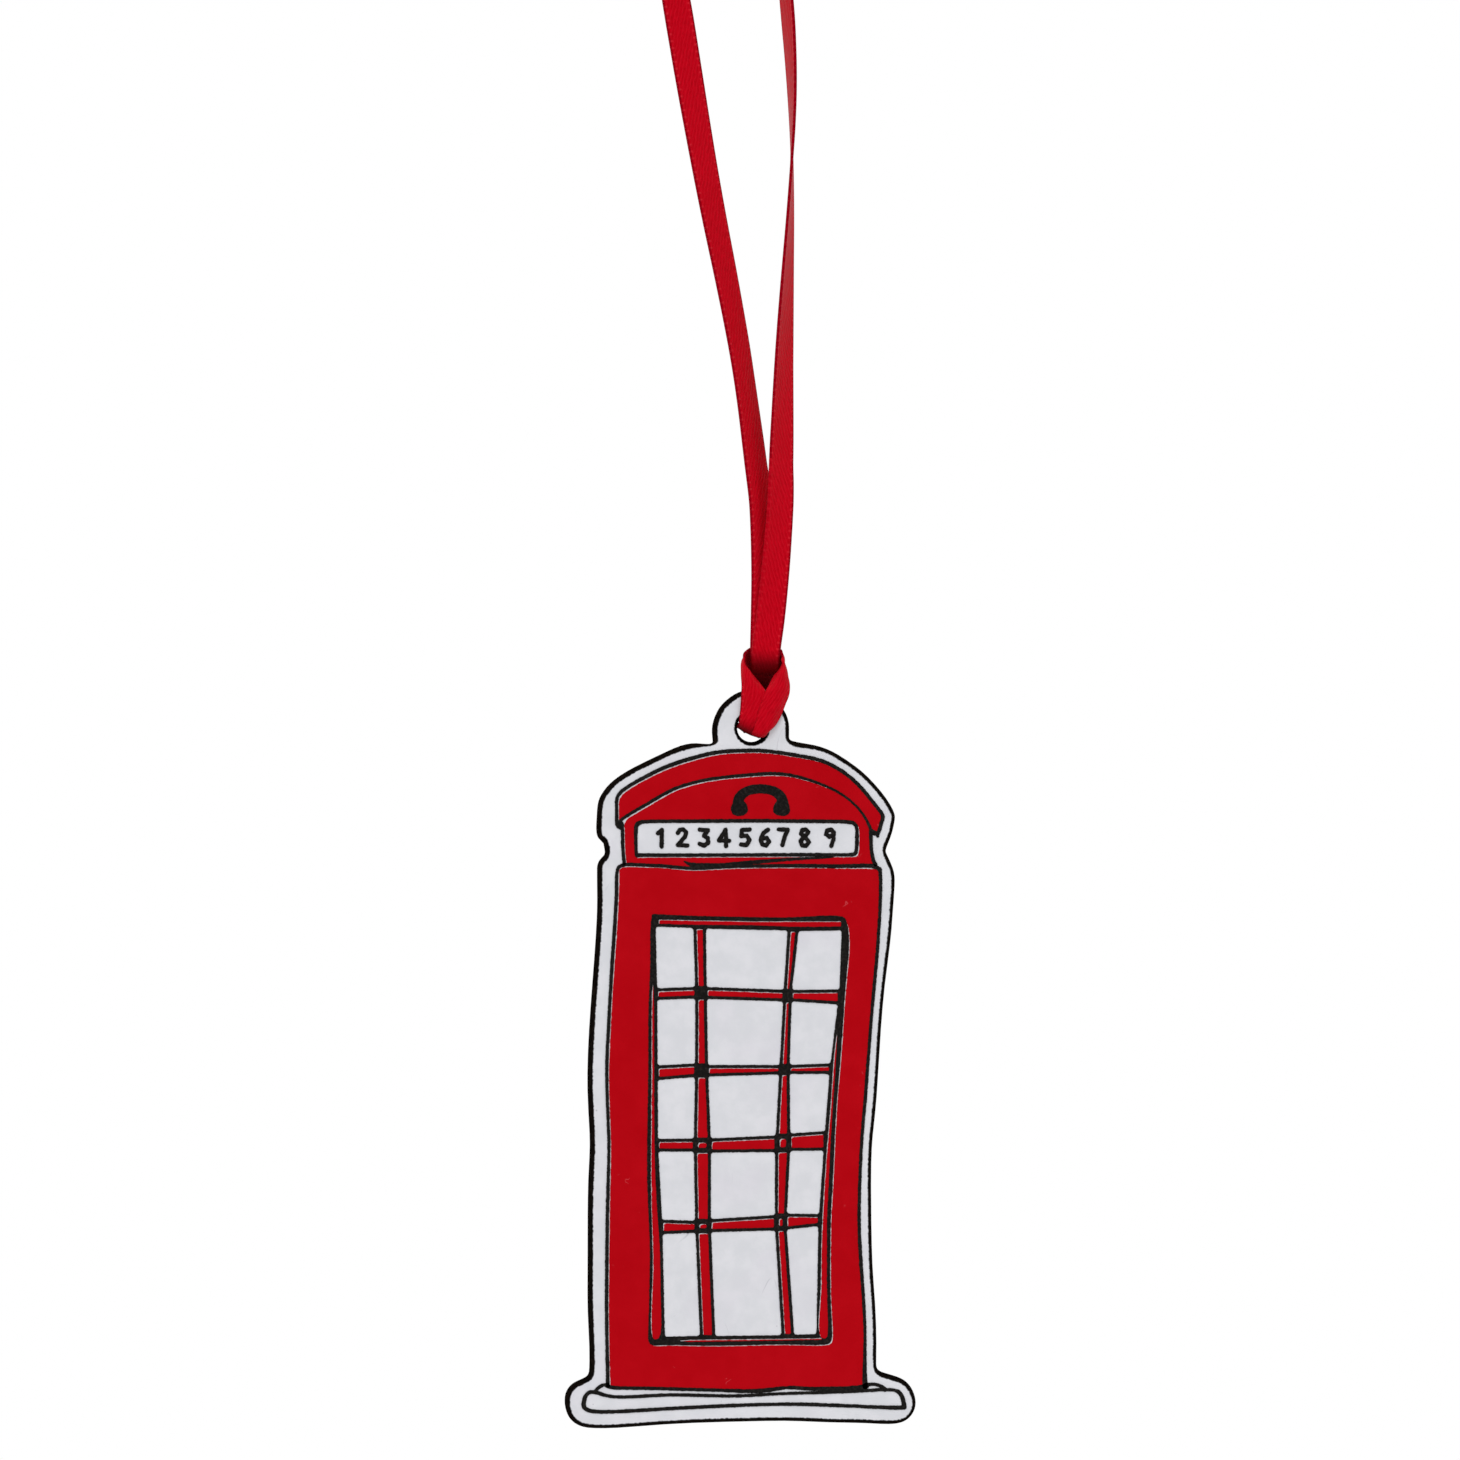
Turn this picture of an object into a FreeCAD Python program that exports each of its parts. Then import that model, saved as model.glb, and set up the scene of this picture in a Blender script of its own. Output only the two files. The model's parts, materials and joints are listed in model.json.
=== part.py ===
"""A printed hanging ornament: a hand-drawn telephone box cut from 3 mm board, on a loop of satin ribbon.

The row frame has its origin on the axis of the peg that the ribbon loop hangs on. +Z is up, +X is to
the right as the printed face is seen, and the printed face looks along -Y. Lengths are millimetres.
Outlines of the board and of the artwork are lists of (across, up) points from the centre of the hole.
"""
import FreeCAD, Part
import math
import os

from FreeCAD import Placement, Rotation, Vector

os.makedirs("parts", exist_ok=True)
doc = FreeCAD.newDocument("booth_ornament")

# ---------------------------------------------------------------------------------------------------
# Driving dimensions
# ---------------------------------------------------------------------------------------------------
SIZES = {
    "board_thickness": 3.0,
    "cut_margin": 0.12,        # how far outside the drawn outline the board is cut, at the back
    "edge_taper": 0.41,        # how far the laser's kerf draws the front outline in from there
    "hole_front_radius": 1.94,
    "hole_back_radius": 1.6,
    "hole_side": 3.5,          # the hole's centre is this far right of the peg's axis
    "hole_drop": 99.5,         # and this far below it
    "ground_coat": 0.05,
    "ground_inset": 0.05,
    "red_ink": 0.03,
    "black_ink": 0.04,
    "misprint": 0.15,          # the red screen sits this far right of the black one, and this far lower
    "pane_line": 0.3,          # width of the black line round each pane
    "crossing_line": 0.42,     # and of the black round the red spots where the lower bars cross
    "peg_radius": 6.3,
    "ribbon_width": 3.0,
    "ribbon_fold": 0.5,        # thickness of a ribbon strand's stand-in
    "bight_leg": 8.0,
    "band_gap": 0.3,           # from the board's faces to the hitch
    "band_fold": 0.6,
    "neck_fold": 0.4,
    "neck_gap": 0.1,
    "knot_width": 4.4,
    "knot_height": 3.6,
    "knot_depth": 3.6,
    "through_radius": 1.4,
}

sheet = doc.addObject("Spreadsheet::Sheet", "Sizes")
for row, (alias, value) in enumerate(SIZES.items(), start=1):
    sheet.set("A%d" % row, alias)
    sheet.set("B%d" % row, str(value))
    sheet.setAlias("B%d" % row, alias)
doc.recompute()


def size(alias):
    """The sheet's value for one alias."""
    return float(sheet.get(alias))


# ---------------------------------------------------------------------------------------------------
# Outlines: (across, up), or (across, up, pen width) for a drawn line
# ---------------------------------------------------------------------------------------------------
BOARD = [
    (-4.29, -1.43), (-4.37, -0.23), (-4.23, 0.69), (-3.58, 2.17), (-2.51, 3.29), (-1.37, 3.98),
    (0.0, 4.23), (1.49, 3.94), (2.74, 3.14), (3.54, 2.17), (3.97, 1.37), (4.23, 0.23), (4.23, -1.03),
    (4.57, -1.54), (7.14, -2.06), (9.37, -2.86), (11.2, -4.0), (12.69, -5.14), (14.06, -6.51),
    (15.2, -7.89), (16.06, -9.26), (16.34, -10.06), (16.29, -10.74), (15.89, -12.34),
    (15.31, -13.94), (15.43, -14.51), (16.0, -15.77), (16.31, -17.03), (16.21, -19.66),
    (15.89, -23.77), (15.2, -29.37), (14.63, -36.23), (14.17, -43.2), (13.77, -47.09),
    (13.63, -50.51), (13.63, -54.4), (13.78, -61.37), (14.06, -65.49), (14.23, -69.94),
    (14.21, -72.46), (14.46, -73.49), (16.0, -74.11), (17.49, -74.74), (18.35, -75.77),
    (18.72, -77.26), (18.29, -78.51), (17.03, -79.37), (13.49, -79.43), (8.91, -79.31),
    (4.34, -79.14), (0.0, -79.18), (-5.37, -79.31), (-10.86, -79.58), (-15.09, -79.89),
    (-17.83, -79.94), (-19.43, -79.71), (-20.63, -78.86), (-21.2, -77.26), (-21.03, -75.89),
    (-20.34, -75.03), (-19.43, -74.57), (-18.63, -74.06), (-18.4, -73.14), (-18.4, -70.51),
    (-18.57, -66.74), (-18.59, -61.37), (-18.51, -51.66), (-18.34, -47.31), (-18.59, -41.83),
    (-18.46, -35.2), (-18.06, -29.37), (-17.65, -23.77), (-17.49, -19.66), (-17.52, -16.46),
    (-17.43, -15.55), (-17.1, -15.0), (-16.74, -14.6), (-16.63, -14.1), (-16.74, -13.4),
    (-16.88, -12.95), (-17.3, -12.6), (-17.57, -11.95), (-17.54, -10.06), (-17.37, -8.46),
    (-16.8, -7.31), (-15.77, -6.17), (-13.6, -4.74), (-10.06, -3.01), (-6.4, -1.86),
]

ROOF_LINE = [
    (-14.9, -11.42, 0.4), (-15.4, -11.02, 0.4), (-15.48, -9.6, 0.32), (-15.43, -8.0, 0.35),
    (-14.86, -7.2, 0.37), (-13.6, -6.34, 0.37), (-11.66, -5.29, 0.39), (-10.06, -4.53, 0.41),
    (-8.23, -3.86, 0.43), (-6.29, -3.29, 0.41), (-4.23, -2.81, 0.41), (-1.94, -2.61, 0.39),
    (0.34, -2.57, 0.37), (2.63, -2.74, 0.37), (5.49, -3.2, 0.37), (8.0, -3.77, 0.37),
    (10.06, -4.8, 0.37), (11.77, -6.11, 0.37), (13.26, -7.77, 0.37), (14.4, -9.2, 0.37),
    (14.93, -10.06, 0.39), (14.73, -11.0, 0.38), (14.36, -11.98, 0.42), (13.98, -12.02, 0.52),
    (13.66, -11.85, 0.56),
]
EAVE_LEFT = [(-15.34, -10.98, 0.5), (-15.05, -10.96, 0.7), (-14.88, -11.32, 0.48)]
EAVE_RIGHT = [(14.5, -11.7, 0.36), (14.34, -12.36, 0.28)]
ARCH_LINE = [
    (-15.2, -10.74, 0.3), (-14.4, -10.09, 0.32), (-12.8, -9.14, 0.32), (-10.86, -8.0, 0.32),
    (-9.37, -7.18, 0.32), (-8.11, -6.66, 0.32), (-5.37, -5.94, 0.32), (-2.51, -5.55, 0.32),
    (0.0, -5.33, 0.34), (2.63, -5.21, 0.34), (4.91, -5.49, 0.3), (7.2, -6.17, 0.25),
    (9.49, -7.14, 0.23), (11.2, -8.29, 0.22), (12.34, -9.43, 0.22), (13.14, -10.63, 0.25),
    (13.6, -11.77, 0.34),
]
FASCIA_LEFT = [(-14.82, -11.4, 0.34), (-14.79, -13.37, 0.34), (-14.63, -15.5, 0.34)]
FASCIA_RIGHT = [(13.58, -11.7, 0.37), (13.6, -13.37, 0.37), (13.77, -14.74, 0.37), (14.1, -15.6, 0.37)]
FASCIA_CORNER = [(-14.7, -10.95), (-14.55, -10.5)]
BODY_TOP = [
    (-15.3, -15.95, 0.34), (-14.4, -15.6, 0.34), (-12.23, -15.66, 0.34), (-9.94, -15.77, 0.34),
    (-7.09, -16.03, 0.34), (-3.66, -15.89, 0.32), (0.0, -15.77, 0.34), (5.49, -15.73, 0.37),
    (11.2, -15.77, 0.41), (13.71, -15.77, 0.46), (14.6, -16.2, 0.46),
]
BODY_CORNER = [(-15.27, -16.1), (-15.0, -15.85)]
BODY_LEFT = [
    (-15.3, -15.95, 0.34), (-15.46, -16.6, 0.34), (-15.49, -18.51, 0.37), (-15.66, -21.94, 0.37),
    (-15.89, -25.37, 0.37), (-16.16, -29.37, 0.34), (-16.4, -33.94, 0.34), (-16.59, -37.94, 0.34),
    (-16.59, -41.37, 0.32), (-16.41, -45.94, 0.3), (-16.37, -48.8, 0.3), (-16.49, -53.37, 0.34),
    (-16.59, -59.66, 0.37), (-16.63, -66.51, 0.34), (-16.57, -71.09, 0.34), (-16.48, -75.1, 0.39),
]
BODY_RIGHT = [
    (14.6, -16.1, 0.36), (14.69, -18.0, 0.34), (14.55, -21.94, 0.32), (14.23, -26.51, 0.34),
    (13.75, -31.66, 0.32), (13.26, -37.94, 0.32), (12.91, -42.51, 0.34), (12.53, -47.09, 0.32),
    (12.31, -51.66, 0.32), (12.23, -56.23, 0.34), (12.38, -60.23, 0.37), (12.74, -65.37, 0.32),
    (12.91, -69.94, 0.3), (12.87, -72.8, 0.39), (12.91, -75.2, 0.57),
]
BODY_BOTTOM = [
    (-16.6, -75.1, 0.46), (-15.77, -75.31, 0.37), (-12.8, -75.38, 0.34), (-8.23, -75.5, 0.34),
    (-3.66, -75.63, 0.34), (-0.46, -75.73, 0.41), (1.83, -75.61, 0.46), (4.11, -75.34, 0.32),
    (6.4, -75.46, 0.39), (8.91, -75.5, 0.5), (11.2, -75.45, 0.5), (13.03, -75.22, 0.55),
]
PLINTH_TOP = [
    (-18.46, -75.8, 0.39), (-17.71, -75.89, 0.41), (-16.69, -76.21, 0.34), (-15.09, -76.38, 0.32),
    (-12.8, -76.31, 0.34), (-9.94, -76.16, 0.34), (-7.09, -76.17, 0.34), (-3.66, -76.27, 0.32),
    (-0.8, -76.25, 0.32), (3.2, -76.03, 0.3), (6.63, -75.94, 0.3), (10.06, -75.84, 0.32),
    (13.49, -75.66, 0.34), (15.77, -75.59, 0.34), (16.74, -75.86, 0.41), (17.2, -76.6, 0.46),
    (17.4, -77.6, 0.46),
]
PLINTH_BOTTOM = [
    (-18.4, -75.8, 0.39), (-18.97, -76.17, 0.41), (-19.22, -76.86, 0.46), (-19.18, -77.54, 0.46),
    (-18.63, -77.92, 0.41), (-16.8, -78.08, 0.39), (-12.8, -77.91, 0.37), (-9.37, -77.71, 0.37),
    (-5.94, -77.53, 0.37), (-2.51, -77.38, 0.37), (1.49, -77.26, 0.34), (5.49, -77.23, 0.37),
    (8.91, -77.35, 0.37), (12.34, -77.49, 0.34), (15.2, -77.62, 0.39), (17.4, -77.62, 0.46),
]
STEP_LEFT = [(-18.0, -75.8, 0.36), (-17.31, -75.15, 0.34), (-16.5, -74.95, 0.34)]
STEP_RIGHT = [(12.95, -75.05, 0.4), (13.94, -74.97, 0.3), (14.63, -75.15, 0.34), (15.2, -75.6, 0.44)]
SCRIBBLE = [
    (-7.77, -15.23, 0.11), (-6.86, -15.6, 0.45), (-5.37, -15.72, 0.5), (-3.09, -15.64, 0.4),
    (-0.8, -15.42, 0.43), (1.49, -15.22, 0.39), (4.34, -15.0, 0.3), (7.2, -14.84, 0.22),
    (9.26, -14.76, 0.11),
]
SIGN_OUTSIDE = [
    (-12.8, -10.57), (-12.0, -10.5), (-5.94, -10.45), (0.0, -10.41), (5.49, -10.45), (10.06, -10.5),
    (11.2, -10.57), (11.77, -10.74), (12.0, -11.0), (12.12, -11.4), (12.17, -12.8), (12.1, -13.9),
    (12.0, -14.34), (11.77, -14.58), (11.2, -14.66), (7.77, -14.66), (0.0, -14.67), (-7.09, -14.7),
    (-12.9, -14.73), (-13.3, -14.7), (-13.4, -14.4), (-13.45, -13.37), (-13.48, -11.66),
    (-13.42, -11.1), (-13.2, -10.75),
]
SIGN_INSIDE = [
    (-12.69, -10.97), (-12.2, -10.88), (-5.94, -10.82), (0.0, -10.78), (5.49, -10.82), (10.06, -10.88),
    (11.1, -10.95), (11.5, -11.06), (11.73, -11.24), (11.8, -11.6), (11.79, -12.8), (11.73, -13.9),
    (11.64, -14.18), (11.4, -14.28), (7.77, -14.3), (0.0, -14.32), (-7.09, -14.34), (-12.7, -14.33),
    (-13.05, -14.27), (-13.11, -13.9), (-13.12, -12.5), (-13.09, -11.6), (-12.97, -11.18),
]
LATTICE = [
    (-10.97, -21.28), (-5.94, -21.5), (0.0, -21.63), (5.49, -21.61), (10.29, -21.58),
    (10.74, -22.06), (10.99, -23.2), (11.05, -25.03), (10.89, -27.09), (10.57, -30.51),
    (10.38, -33.49), (10.06, -37.94), (9.71, -41.94), (9.41, -47.09), (9.18, -52.23),
    (8.98, -55.66), (8.91, -59.66), (8.95, -65.37), (9.12, -68.8), (8.97, -70.11), (8.23, -70.42),
    (4.34, -70.4), (0.0, -70.45), (-5.94, -70.51), (-9.94, -70.45), (-11.6, -70.34),
    (-11.85, -69.49), (-11.77, -66.51), (-11.68, -62.51), (-11.68, -58.51), (-11.89, -53.94),
    (-11.97, -49.37), (-11.91, -43.66), (-11.83, -37.94), (-11.84, -33.37), (-11.73, -29.94),
    (-11.61, -25.94), (-11.57, -22.51), (-11.43, -21.49),
]

# The window's white panes stand in three columns and five rows. Each column edge is drawn through
# six heights; each row edge has one height per column edge, from left to right.
COLUMN_HEIGHTS = (-22.9, -29.9, -38.9, -47.7, -56.7, -69.6)
COLUMN_EDGES = [
    (-11.05, -10.88, -10.82, -10.78, -10.29, -10.0), (-6.69, -6.48, -6.49, -6.65, -6.48, -5.94),
    (-5.31, -5.22, -5.07, -4.73, -4.75, -4.23), (4.09, 3.63, 3.14, 2.66, 2.61, 3.41),
    (5.31, 4.53, 4.26, 4.34, 3.89, 4.8), (10.26, 10.01, 8.91, 8.23, 7.6, 7.37),
]
ROW_TOPS = [
    (-22.66, -22.8, -22.89, -23.09, -23.17, -23.09), (-31.03, -30.86, -30.91, -31.2, -31.2, -31.54),
    (-40.17, -39.83, -39.77, -39.54, -39.49, -39.49), (-48.34, -48.34, -48.46, -48.4, -48.29, -48.23),
    (-57.77, -57.6, -57.54, -57.37, -57.26, -56.86),
]
ROW_BOTTOMS = [
    (-29.75, -29.6, -29.6, -29.92, -29.94, -29.89), (-38.55, -38.34, -38.51, -38.51, -38.51, -38.34),
    (-46.95, -46.91, -46.89, -46.57, -46.34, -46.06), (-56.17, -56.29, -56.11, -55.66, -55.49, -55.54),
    (-69.54, -69.43, -69.46, -69.37, -69.31, -69.26),
]
# Red strips inside the window's black frame.
TOP_RAIL = [
    (-10.7, -21.85), (0.0, -22.05), (10.2, -22.05), (10.2, -22.7), (5.3, -22.75), (0.0, -22.55),
    (-6.5, -22.5), (-10.7, -22.38),
]
LEFT_STILE = [
    (-11.35, -29.1), (-11.5, -31.0), (-11.52, -38.9), (-11.6, -47.7), (-11.5, -56.7),
    (-11.4, -62.0), (-11.48, -69.3), (-11.1, -69.85), (-10.6, -69.6), (-10.38, -66.0),
    (-10.5, -60.0), (-10.75, -56.0), (-11.0, -52.0), (-11.12, -47.7), (-11.17, -38.9), (-11.2, -31.0),
]
RIGHT_STILE = [
    (9.72, -34.8), (9.69, -36.8), (9.3, -42.5), (9.0, -47.3), (8.8, -51.7), (8.6, -56.0),
    (8.57, -60.0), (8.6, -65.0), (8.66, -69.2), (8.4, -69.75), (7.8, -69.5), (7.75, -65.0),
    (7.86, -60.0), (8.0, -56.0), (8.25, -51.7), (8.6, -47.0), (8.98, -42.5), (9.4, -36.8),
]
BOTTOM_RAIL = [
    (-9.1, -69.98), (-7.0, -69.83), (0.0, -69.77), (8.0, -69.66), (8.0, -69.9), (0.0, -70.02),
    (-7.0, -70.12),
]

# Nine hand-drawn digits stand on the sign: each is one or two pen paths in a box 2 high and 1.2 wide.
DIGIT_PEN = 0.44
DIGIT_PLACES = [
    (-10.4, -12.57), (-8.0, -12.5), (-5.5, -12.5), (-3.2, -12.55), (-0.8, -12.5), (1.45, -12.5),
    (3.55, -12.45), (6.0, -12.5), (8.9, -12.5),
]
DIGITS = [
    [[(-0.35, 0.55), (0.08, 0.93), (0.05, -0.98)]],
    [[(-0.5, 0.5), (-0.3, 0.86), (0.12, 0.92), (0.46, 0.58), (0.3, 0.05), (-0.5, -0.88), (0.58, -0.92)]],
    [[(-0.48, 0.88), (0.46, 0.84), (0.0, 0.2), (0.46, -0.1), (0.46, -0.62), (0.02, -0.94), (-0.52, -0.72)]],
    [[(0.22, -0.95), (0.18, 0.92), (-0.6, -0.3), (0.58, -0.34)]],
    [[(0.5, 0.9), (-0.38, 0.86), (-0.44, 0.15), (0.16, 0.2), (0.5, -0.28), (0.16, -0.88), (-0.48, -0.8)]],
    [[(0.36, 0.9), (-0.16, 0.5), (-0.48, -0.2), (-0.32, -0.78), (0.12, -0.94), (0.48, -0.5),
      (0.2, -0.04), (-0.36, -0.16)]],
    [[(-0.52, 0.88), (0.52, 0.84), (0.2, 0.1), (-0.1, -0.95)]],
    [[(0.0, 0.08), (-0.4, 0.42), (-0.26, 0.86), (0.14, 0.92), (0.42, 0.58), (0.0, 0.08)],
     [(0.0, 0.08), (-0.46, -0.4), (-0.3, -0.88), (0.16, -0.96), (0.48, -0.52), (0.0, 0.08)]],
    [[(0.38, 0.3), (-0.08, 0.06), (-0.44, 0.36), (-0.3, 0.82), (0.14, 0.92), (0.42, 0.58),
      (0.4, -0.2), (0.16, -0.96)]],
]

# The small emblem over the sign is a plain telephone handset: a bowed grip with two cups.
HANDSET_GRIP = [
    (-1.6, -8.6, 1.2), (-1.3, -7.75, 1.1), (-0.4, -7.15, 1.0), (0.95, -6.95, 1.0),
    (2.3, -7.15, 1.0), (3.2, -7.75, 1.1), (3.5, -8.6, 1.2),
]
HANDSET_CUPS = [
    [(-1.65, -8.3), (-0.75, -8.6), (-0.55, -9.5), (-1.05, -9.95), (-2.1, -9.9), (-2.4, -9.3), (-2.2, -8.6)],
    [(3.55, -8.3), (2.65, -8.6), (2.45, -9.5), (2.95, -9.95), (4.0, -9.9), (4.3, -9.3), (4.1, -8.6)],
]

# Ribbon: (across, depth, up) from the hole's centre, depth positive towards the back.
LEG_LEFT = [
    (-10.05, 0.0, 91.5), (-8.6, 0.0, 83.2), (-6.75, 0.05, 72.0), (-4.7, 0.1, 60.5),
    (-2.4, 0.15, 49.3), (-0.7, 0.2, 39.8), (0.45, 0.25, 30.8),
]
LEG_RIGHT = [
    (3.05, 0.0, 91.5), (4.05, -0.05, 83.0), (4.7, -0.1, 72.0), (4.5, -0.15, 61.0),
    (4.0, -0.2, 50.5), (3.6, -0.25, 40.5), (3.35, -0.3, 30.8),
]
NECK_BACK = [
    (-0.69, 30.2), (-0.1, 26.0), (0.2, 19.2), (0.1, 12.3), (-0.05, 10.7), (2.95, 10.7),
    (3.1, 12.3), (3.15, 19.2), (2.85, 26.0), (1.71, 30.2),
]
NECK_FRONT = [
    (2.0, 30.2), (1.6, 26.0), (1.35, 21.5), (0.9, 16.9), (0.55, 12.3), (0.3, 10.7), (3.2, 10.7),
    (3.54, 12.3), (3.89, 16.9), (4.34, 21.5), (4.57, 26.0), (4.65, 30.2),
]
FRONT_BAND = [
    (-0.1, 9.4), (-0.7, 8.9), (-1.0, 8.2), (-1.2, 7.4), (-1.3, 6.4), (-1.2, 4.3), (-1.25, 2.1),
    (-1.4, 0.9), (-1.55, -0.1), (-0.8, -0.7), (0.0, -1.05), (1.0, -1.25), (1.7, -0.8), (2.2, -0.1),
    (2.7, 0.6), (3.3, 1.7), (3.8, 2.9), (4.15, 4.2), (4.15, 5.1), (3.9, 6.6), (3.6, 7.9),
    (3.35, 8.9), (3.0, 9.1), (2.75, 7.5), (2.4, 6.3), (1.9, 5.4), (1.4, 4.6), (0.6, 5.3),
    (-0.1, 6.2), (-0.45, 7.2), (-0.2, 8.2),
]
BACK_STRANDS = [
    (1.5, 0.1, 9.7), (1.4, 0.7, 7.0), (1.1, 2.1, 5.0), (0.7, 2.15, 2.5), (0.1, 2.15, -1.0),
]
COLLAR = [
    (-0.55, -1.75, 8.4), (-0.75, -0.6, 8.5), (-0.4, 1.0, 8.5), (1.5, 1.6, 8.6), (3.3, 1.0, 8.5),
    (3.6, -0.6, 8.4), (3.2, -1.75, 8.3),
]
TAIL_LEFT = [(-4.3, -0.2, 108.6), (-5.0, -0.5, 112.5), (-6.3, -1.2, 116.5)]
TAIL_RIGHT = [(-2.7, 0.2, 108.6), (-2.0, 0.5, 112.3), (-0.9, 1.2, 115.8)]


# ---------------------------------------------------------------------------------------------------
# Curves and faces
# ---------------------------------------------------------------------------------------------------
def centripetal(points, closed=False):
    """Parameters that keep a curve through uneven points free of loops and overshoot."""
    ends = points[1:] + (points[:1] if closed else [])
    parameters = [0.0]
    for start, end in zip(points, ends):
        parameters.append(parameters[-1] + math.sqrt(start.distanceToPoint(end)))
    return parameters


def smooth(points, closed=False, parameters=None):
    """One B-spline through the points, and its parameter at each of them."""
    points = [Vector(*point) for point in points]
    parameters = parameters or centripetal(points, closed)
    curve = Part.BSplineCurve()
    curve.interpolate(Points=points, PeriodicFlag=closed, Parameters=parameters)
    return curve, parameters


def in_stretches(curve, parameters, stretch=6):
    """A closed curve cut into open ones, a few points long each, which loft and measure exactly."""
    cuts = parameters[:-1:stretch] + parameters[-1:]
    stretches = []
    for start, end in zip(cuts, cuts[1:]):
        part = curve.copy()
        part.segment(start, end)
        stretches.append(part)
    return stretches


def inset(points, distance):
    """The closed clockwise outline drawn again inside itself, or outside for a negative distance."""
    curve, parameters = smooth(points, closed=True)
    moved = []
    for (across, up), parameter in zip(points, parameters):
        along = curve.tangent(parameter)[0]
        moved.append((across + along.y * distance, up - along.x * distance))
    return in_stretches(smooth(moved, closed=True, parameters=parameters)[0], parameters)


def closed_wire(points):
    return Part.Wire([smooth(points, closed=True)[0].toShape()])


def rounded_wire(points, radius):
    """A polygon whose corners are arcs, tangent to both sides and shorter where a side is short."""
    edges = []
    corners = []
    count = len(points)
    for index in range(count):
        before, corner, after = (Vector(*points[(index + step) % count]) for step in (-1, 0, 1))
        first, second = before - corner, after - corner
        turn = math.pi - first.getAngle(second)
        reach = min(radius * math.tan(turn / 2), 0.45 * first.Length, 0.45 * second.Length)
        start = corner + first.normalize() * reach
        end = corner + second.normalize() * reach
        bisector = (first + second).normalize()
        arc_radius = reach / math.tan(turn / 2)
        centre = corner + bisector * (arc_radius / math.cos(turn / 2))
        middle = centre - bisector * arc_radius
        corners.append((start, middle, end))
    for index, (start, middle, end) in enumerate(corners):
        edges.append(Part.Arc(start, middle, end).toShape())
        edges.append(Part.LineSegment(end, corners[(index + 1) % count][0]).toShape())
    return Part.Wire(edges)


def face(*wires):
    """A flat face: the first wire is its outline and the others are its holes."""
    return Part.makeFace(list(wires), "Part::FaceMakerBullseye")


def pen_sides(points, samples=3):
    """The left and right edges of a pen line through (across, up, width) points, and its two tips."""
    curve, parameters = smooth([point[:2] for point in points])
    left, right = [], []
    for index in range(len(points) - 1):
        last = index == len(points) - 2
        for step in range(samples + 1 if last else samples):
            share = step / samples
            width = points[index][2] + share * (points[index + 1][2] - points[index][2])
            parameter = parameters[index] + share * (parameters[index + 1] - parameters[index])
            spot, along = curve.value(parameter), curve.tangent(parameter)[0]
            normal = Vector(-along.y, along.x, 0)
            left.append(spot + normal * (width / 2))
            right.append(spot - normal * (width / 2))
    start_tip = curve.value(parameters[0]) - curve.tangent(parameters[0])[0] * (points[0][2] / 2)
    end_tip = curve.value(parameters[-1]) + curve.tangent(parameters[-1])[0] * (points[-1][2] / 2)
    return left, right, start_tip, end_tip


def drawn_line(points):
    """The face of a pen line, with round ends."""
    left, right, start_tip, end_tip = pen_sides(points)
    return Part.Face(Part.Wire([
        smooth(left)[0].toShape(),
        Part.Arc(left[-1], end_tip, right[-1]).toShape(),
        smooth(right[::-1])[0].toShape(),
        Part.Arc(right[0], start_tip, left[0]).toShape(),
    ]))


def left_side(points):
    return pen_sides(points)[0]


def right_side(points):
    return pen_sides(points)[1]


def corner(points):
    """Two points that fill the corner of a coloured field."""
    return [Vector(*point) for point in points]


def field(*sides):
    """The outline of a coloured field: the sides of the lines round it, joined end to end."""
    edges = []
    for side, after in zip(sides, sides[1:] + sides[:1]):
        edges.append(smooth(side)[0].toShape())
        edges.append(Part.LineSegment(side[-1], after[0]).toShape())
    return Part.Wire(edges)


def pen_path(points, width):
    """Faces of straight pen strokes with round ends, one per run of the path."""
    faces = []
    for start, end in zip(points, points[1:]):
        start, end = Vector(*start), Vector(*end)
        along = (end - start).normalize() * (width / 2)
        across = Vector(-along.y, along.x, 0)
        faces.append(Part.Face(Part.Wire([
            Part.LineSegment(start + across, end + across).toShape(),
            Part.Arc(end + across, end + along, end - across).toShape(),
            Part.LineSegment(end - across, start - across).toShape(),
            Part.Arc(start - across, start - along, start + across).toShape(),
        ])))
    return faces


def joined(faces):
    """Faces that touch or cross, as one region."""
    return faces[0].multiFuse(faces[1:]).removeSplitter().Faces if len(faces) > 1 else faces


def edge_at(edge, height):
    """How far across a window column's edge stands at a height."""
    stations = list(zip(COLUMN_HEIGHTS, COLUMN_EDGES[edge]))
    for (high, start), (low, end) in zip(stations, stations[1:]):
        if height >= low:
            break
    return start + (end - start) * (height - high) / (low - high)


# ---------------------------------------------------------------------------------------------------
# Objects
# ---------------------------------------------------------------------------------------------------
nodes = []
HOLE = {"x": "Sizes.hole_side", "z": "-Sizes.hole_drop"}
PEG = {}  # the peg's axis is the row's origin


def place(item, offsets):
    """Binds an object's place to the sheet."""
    for axis, expression in offsets.items():
        item.setExpression("Placement.Base." + axis, expression)


def body(label, offsets):
    item = doc.addObject("PartDesign::Body", label)
    item.Label = label
    place(item, offsets)
    nodes.append(item)
    return item


def sketch(item, name, curves, role="XZ_Plane", offset=None):
    """A sketch on one of the body's own planes, moved along the plane's normal by an expression."""
    drawing = item.newObject("Sketcher::SketchObject", item.Label + "_" + name)
    plane = next(plane for plane in item.Origin.OriginFeatures if plane.Role == role)
    drawing.AttachmentSupport = [(plane, "")]
    drawing.MapMode = "FlatFace"
    drawing.addGeometry(curves, False)
    if offset:
        drawing.setExpression("AttachmentOffset.Base.z", offset)
    return drawing


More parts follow.
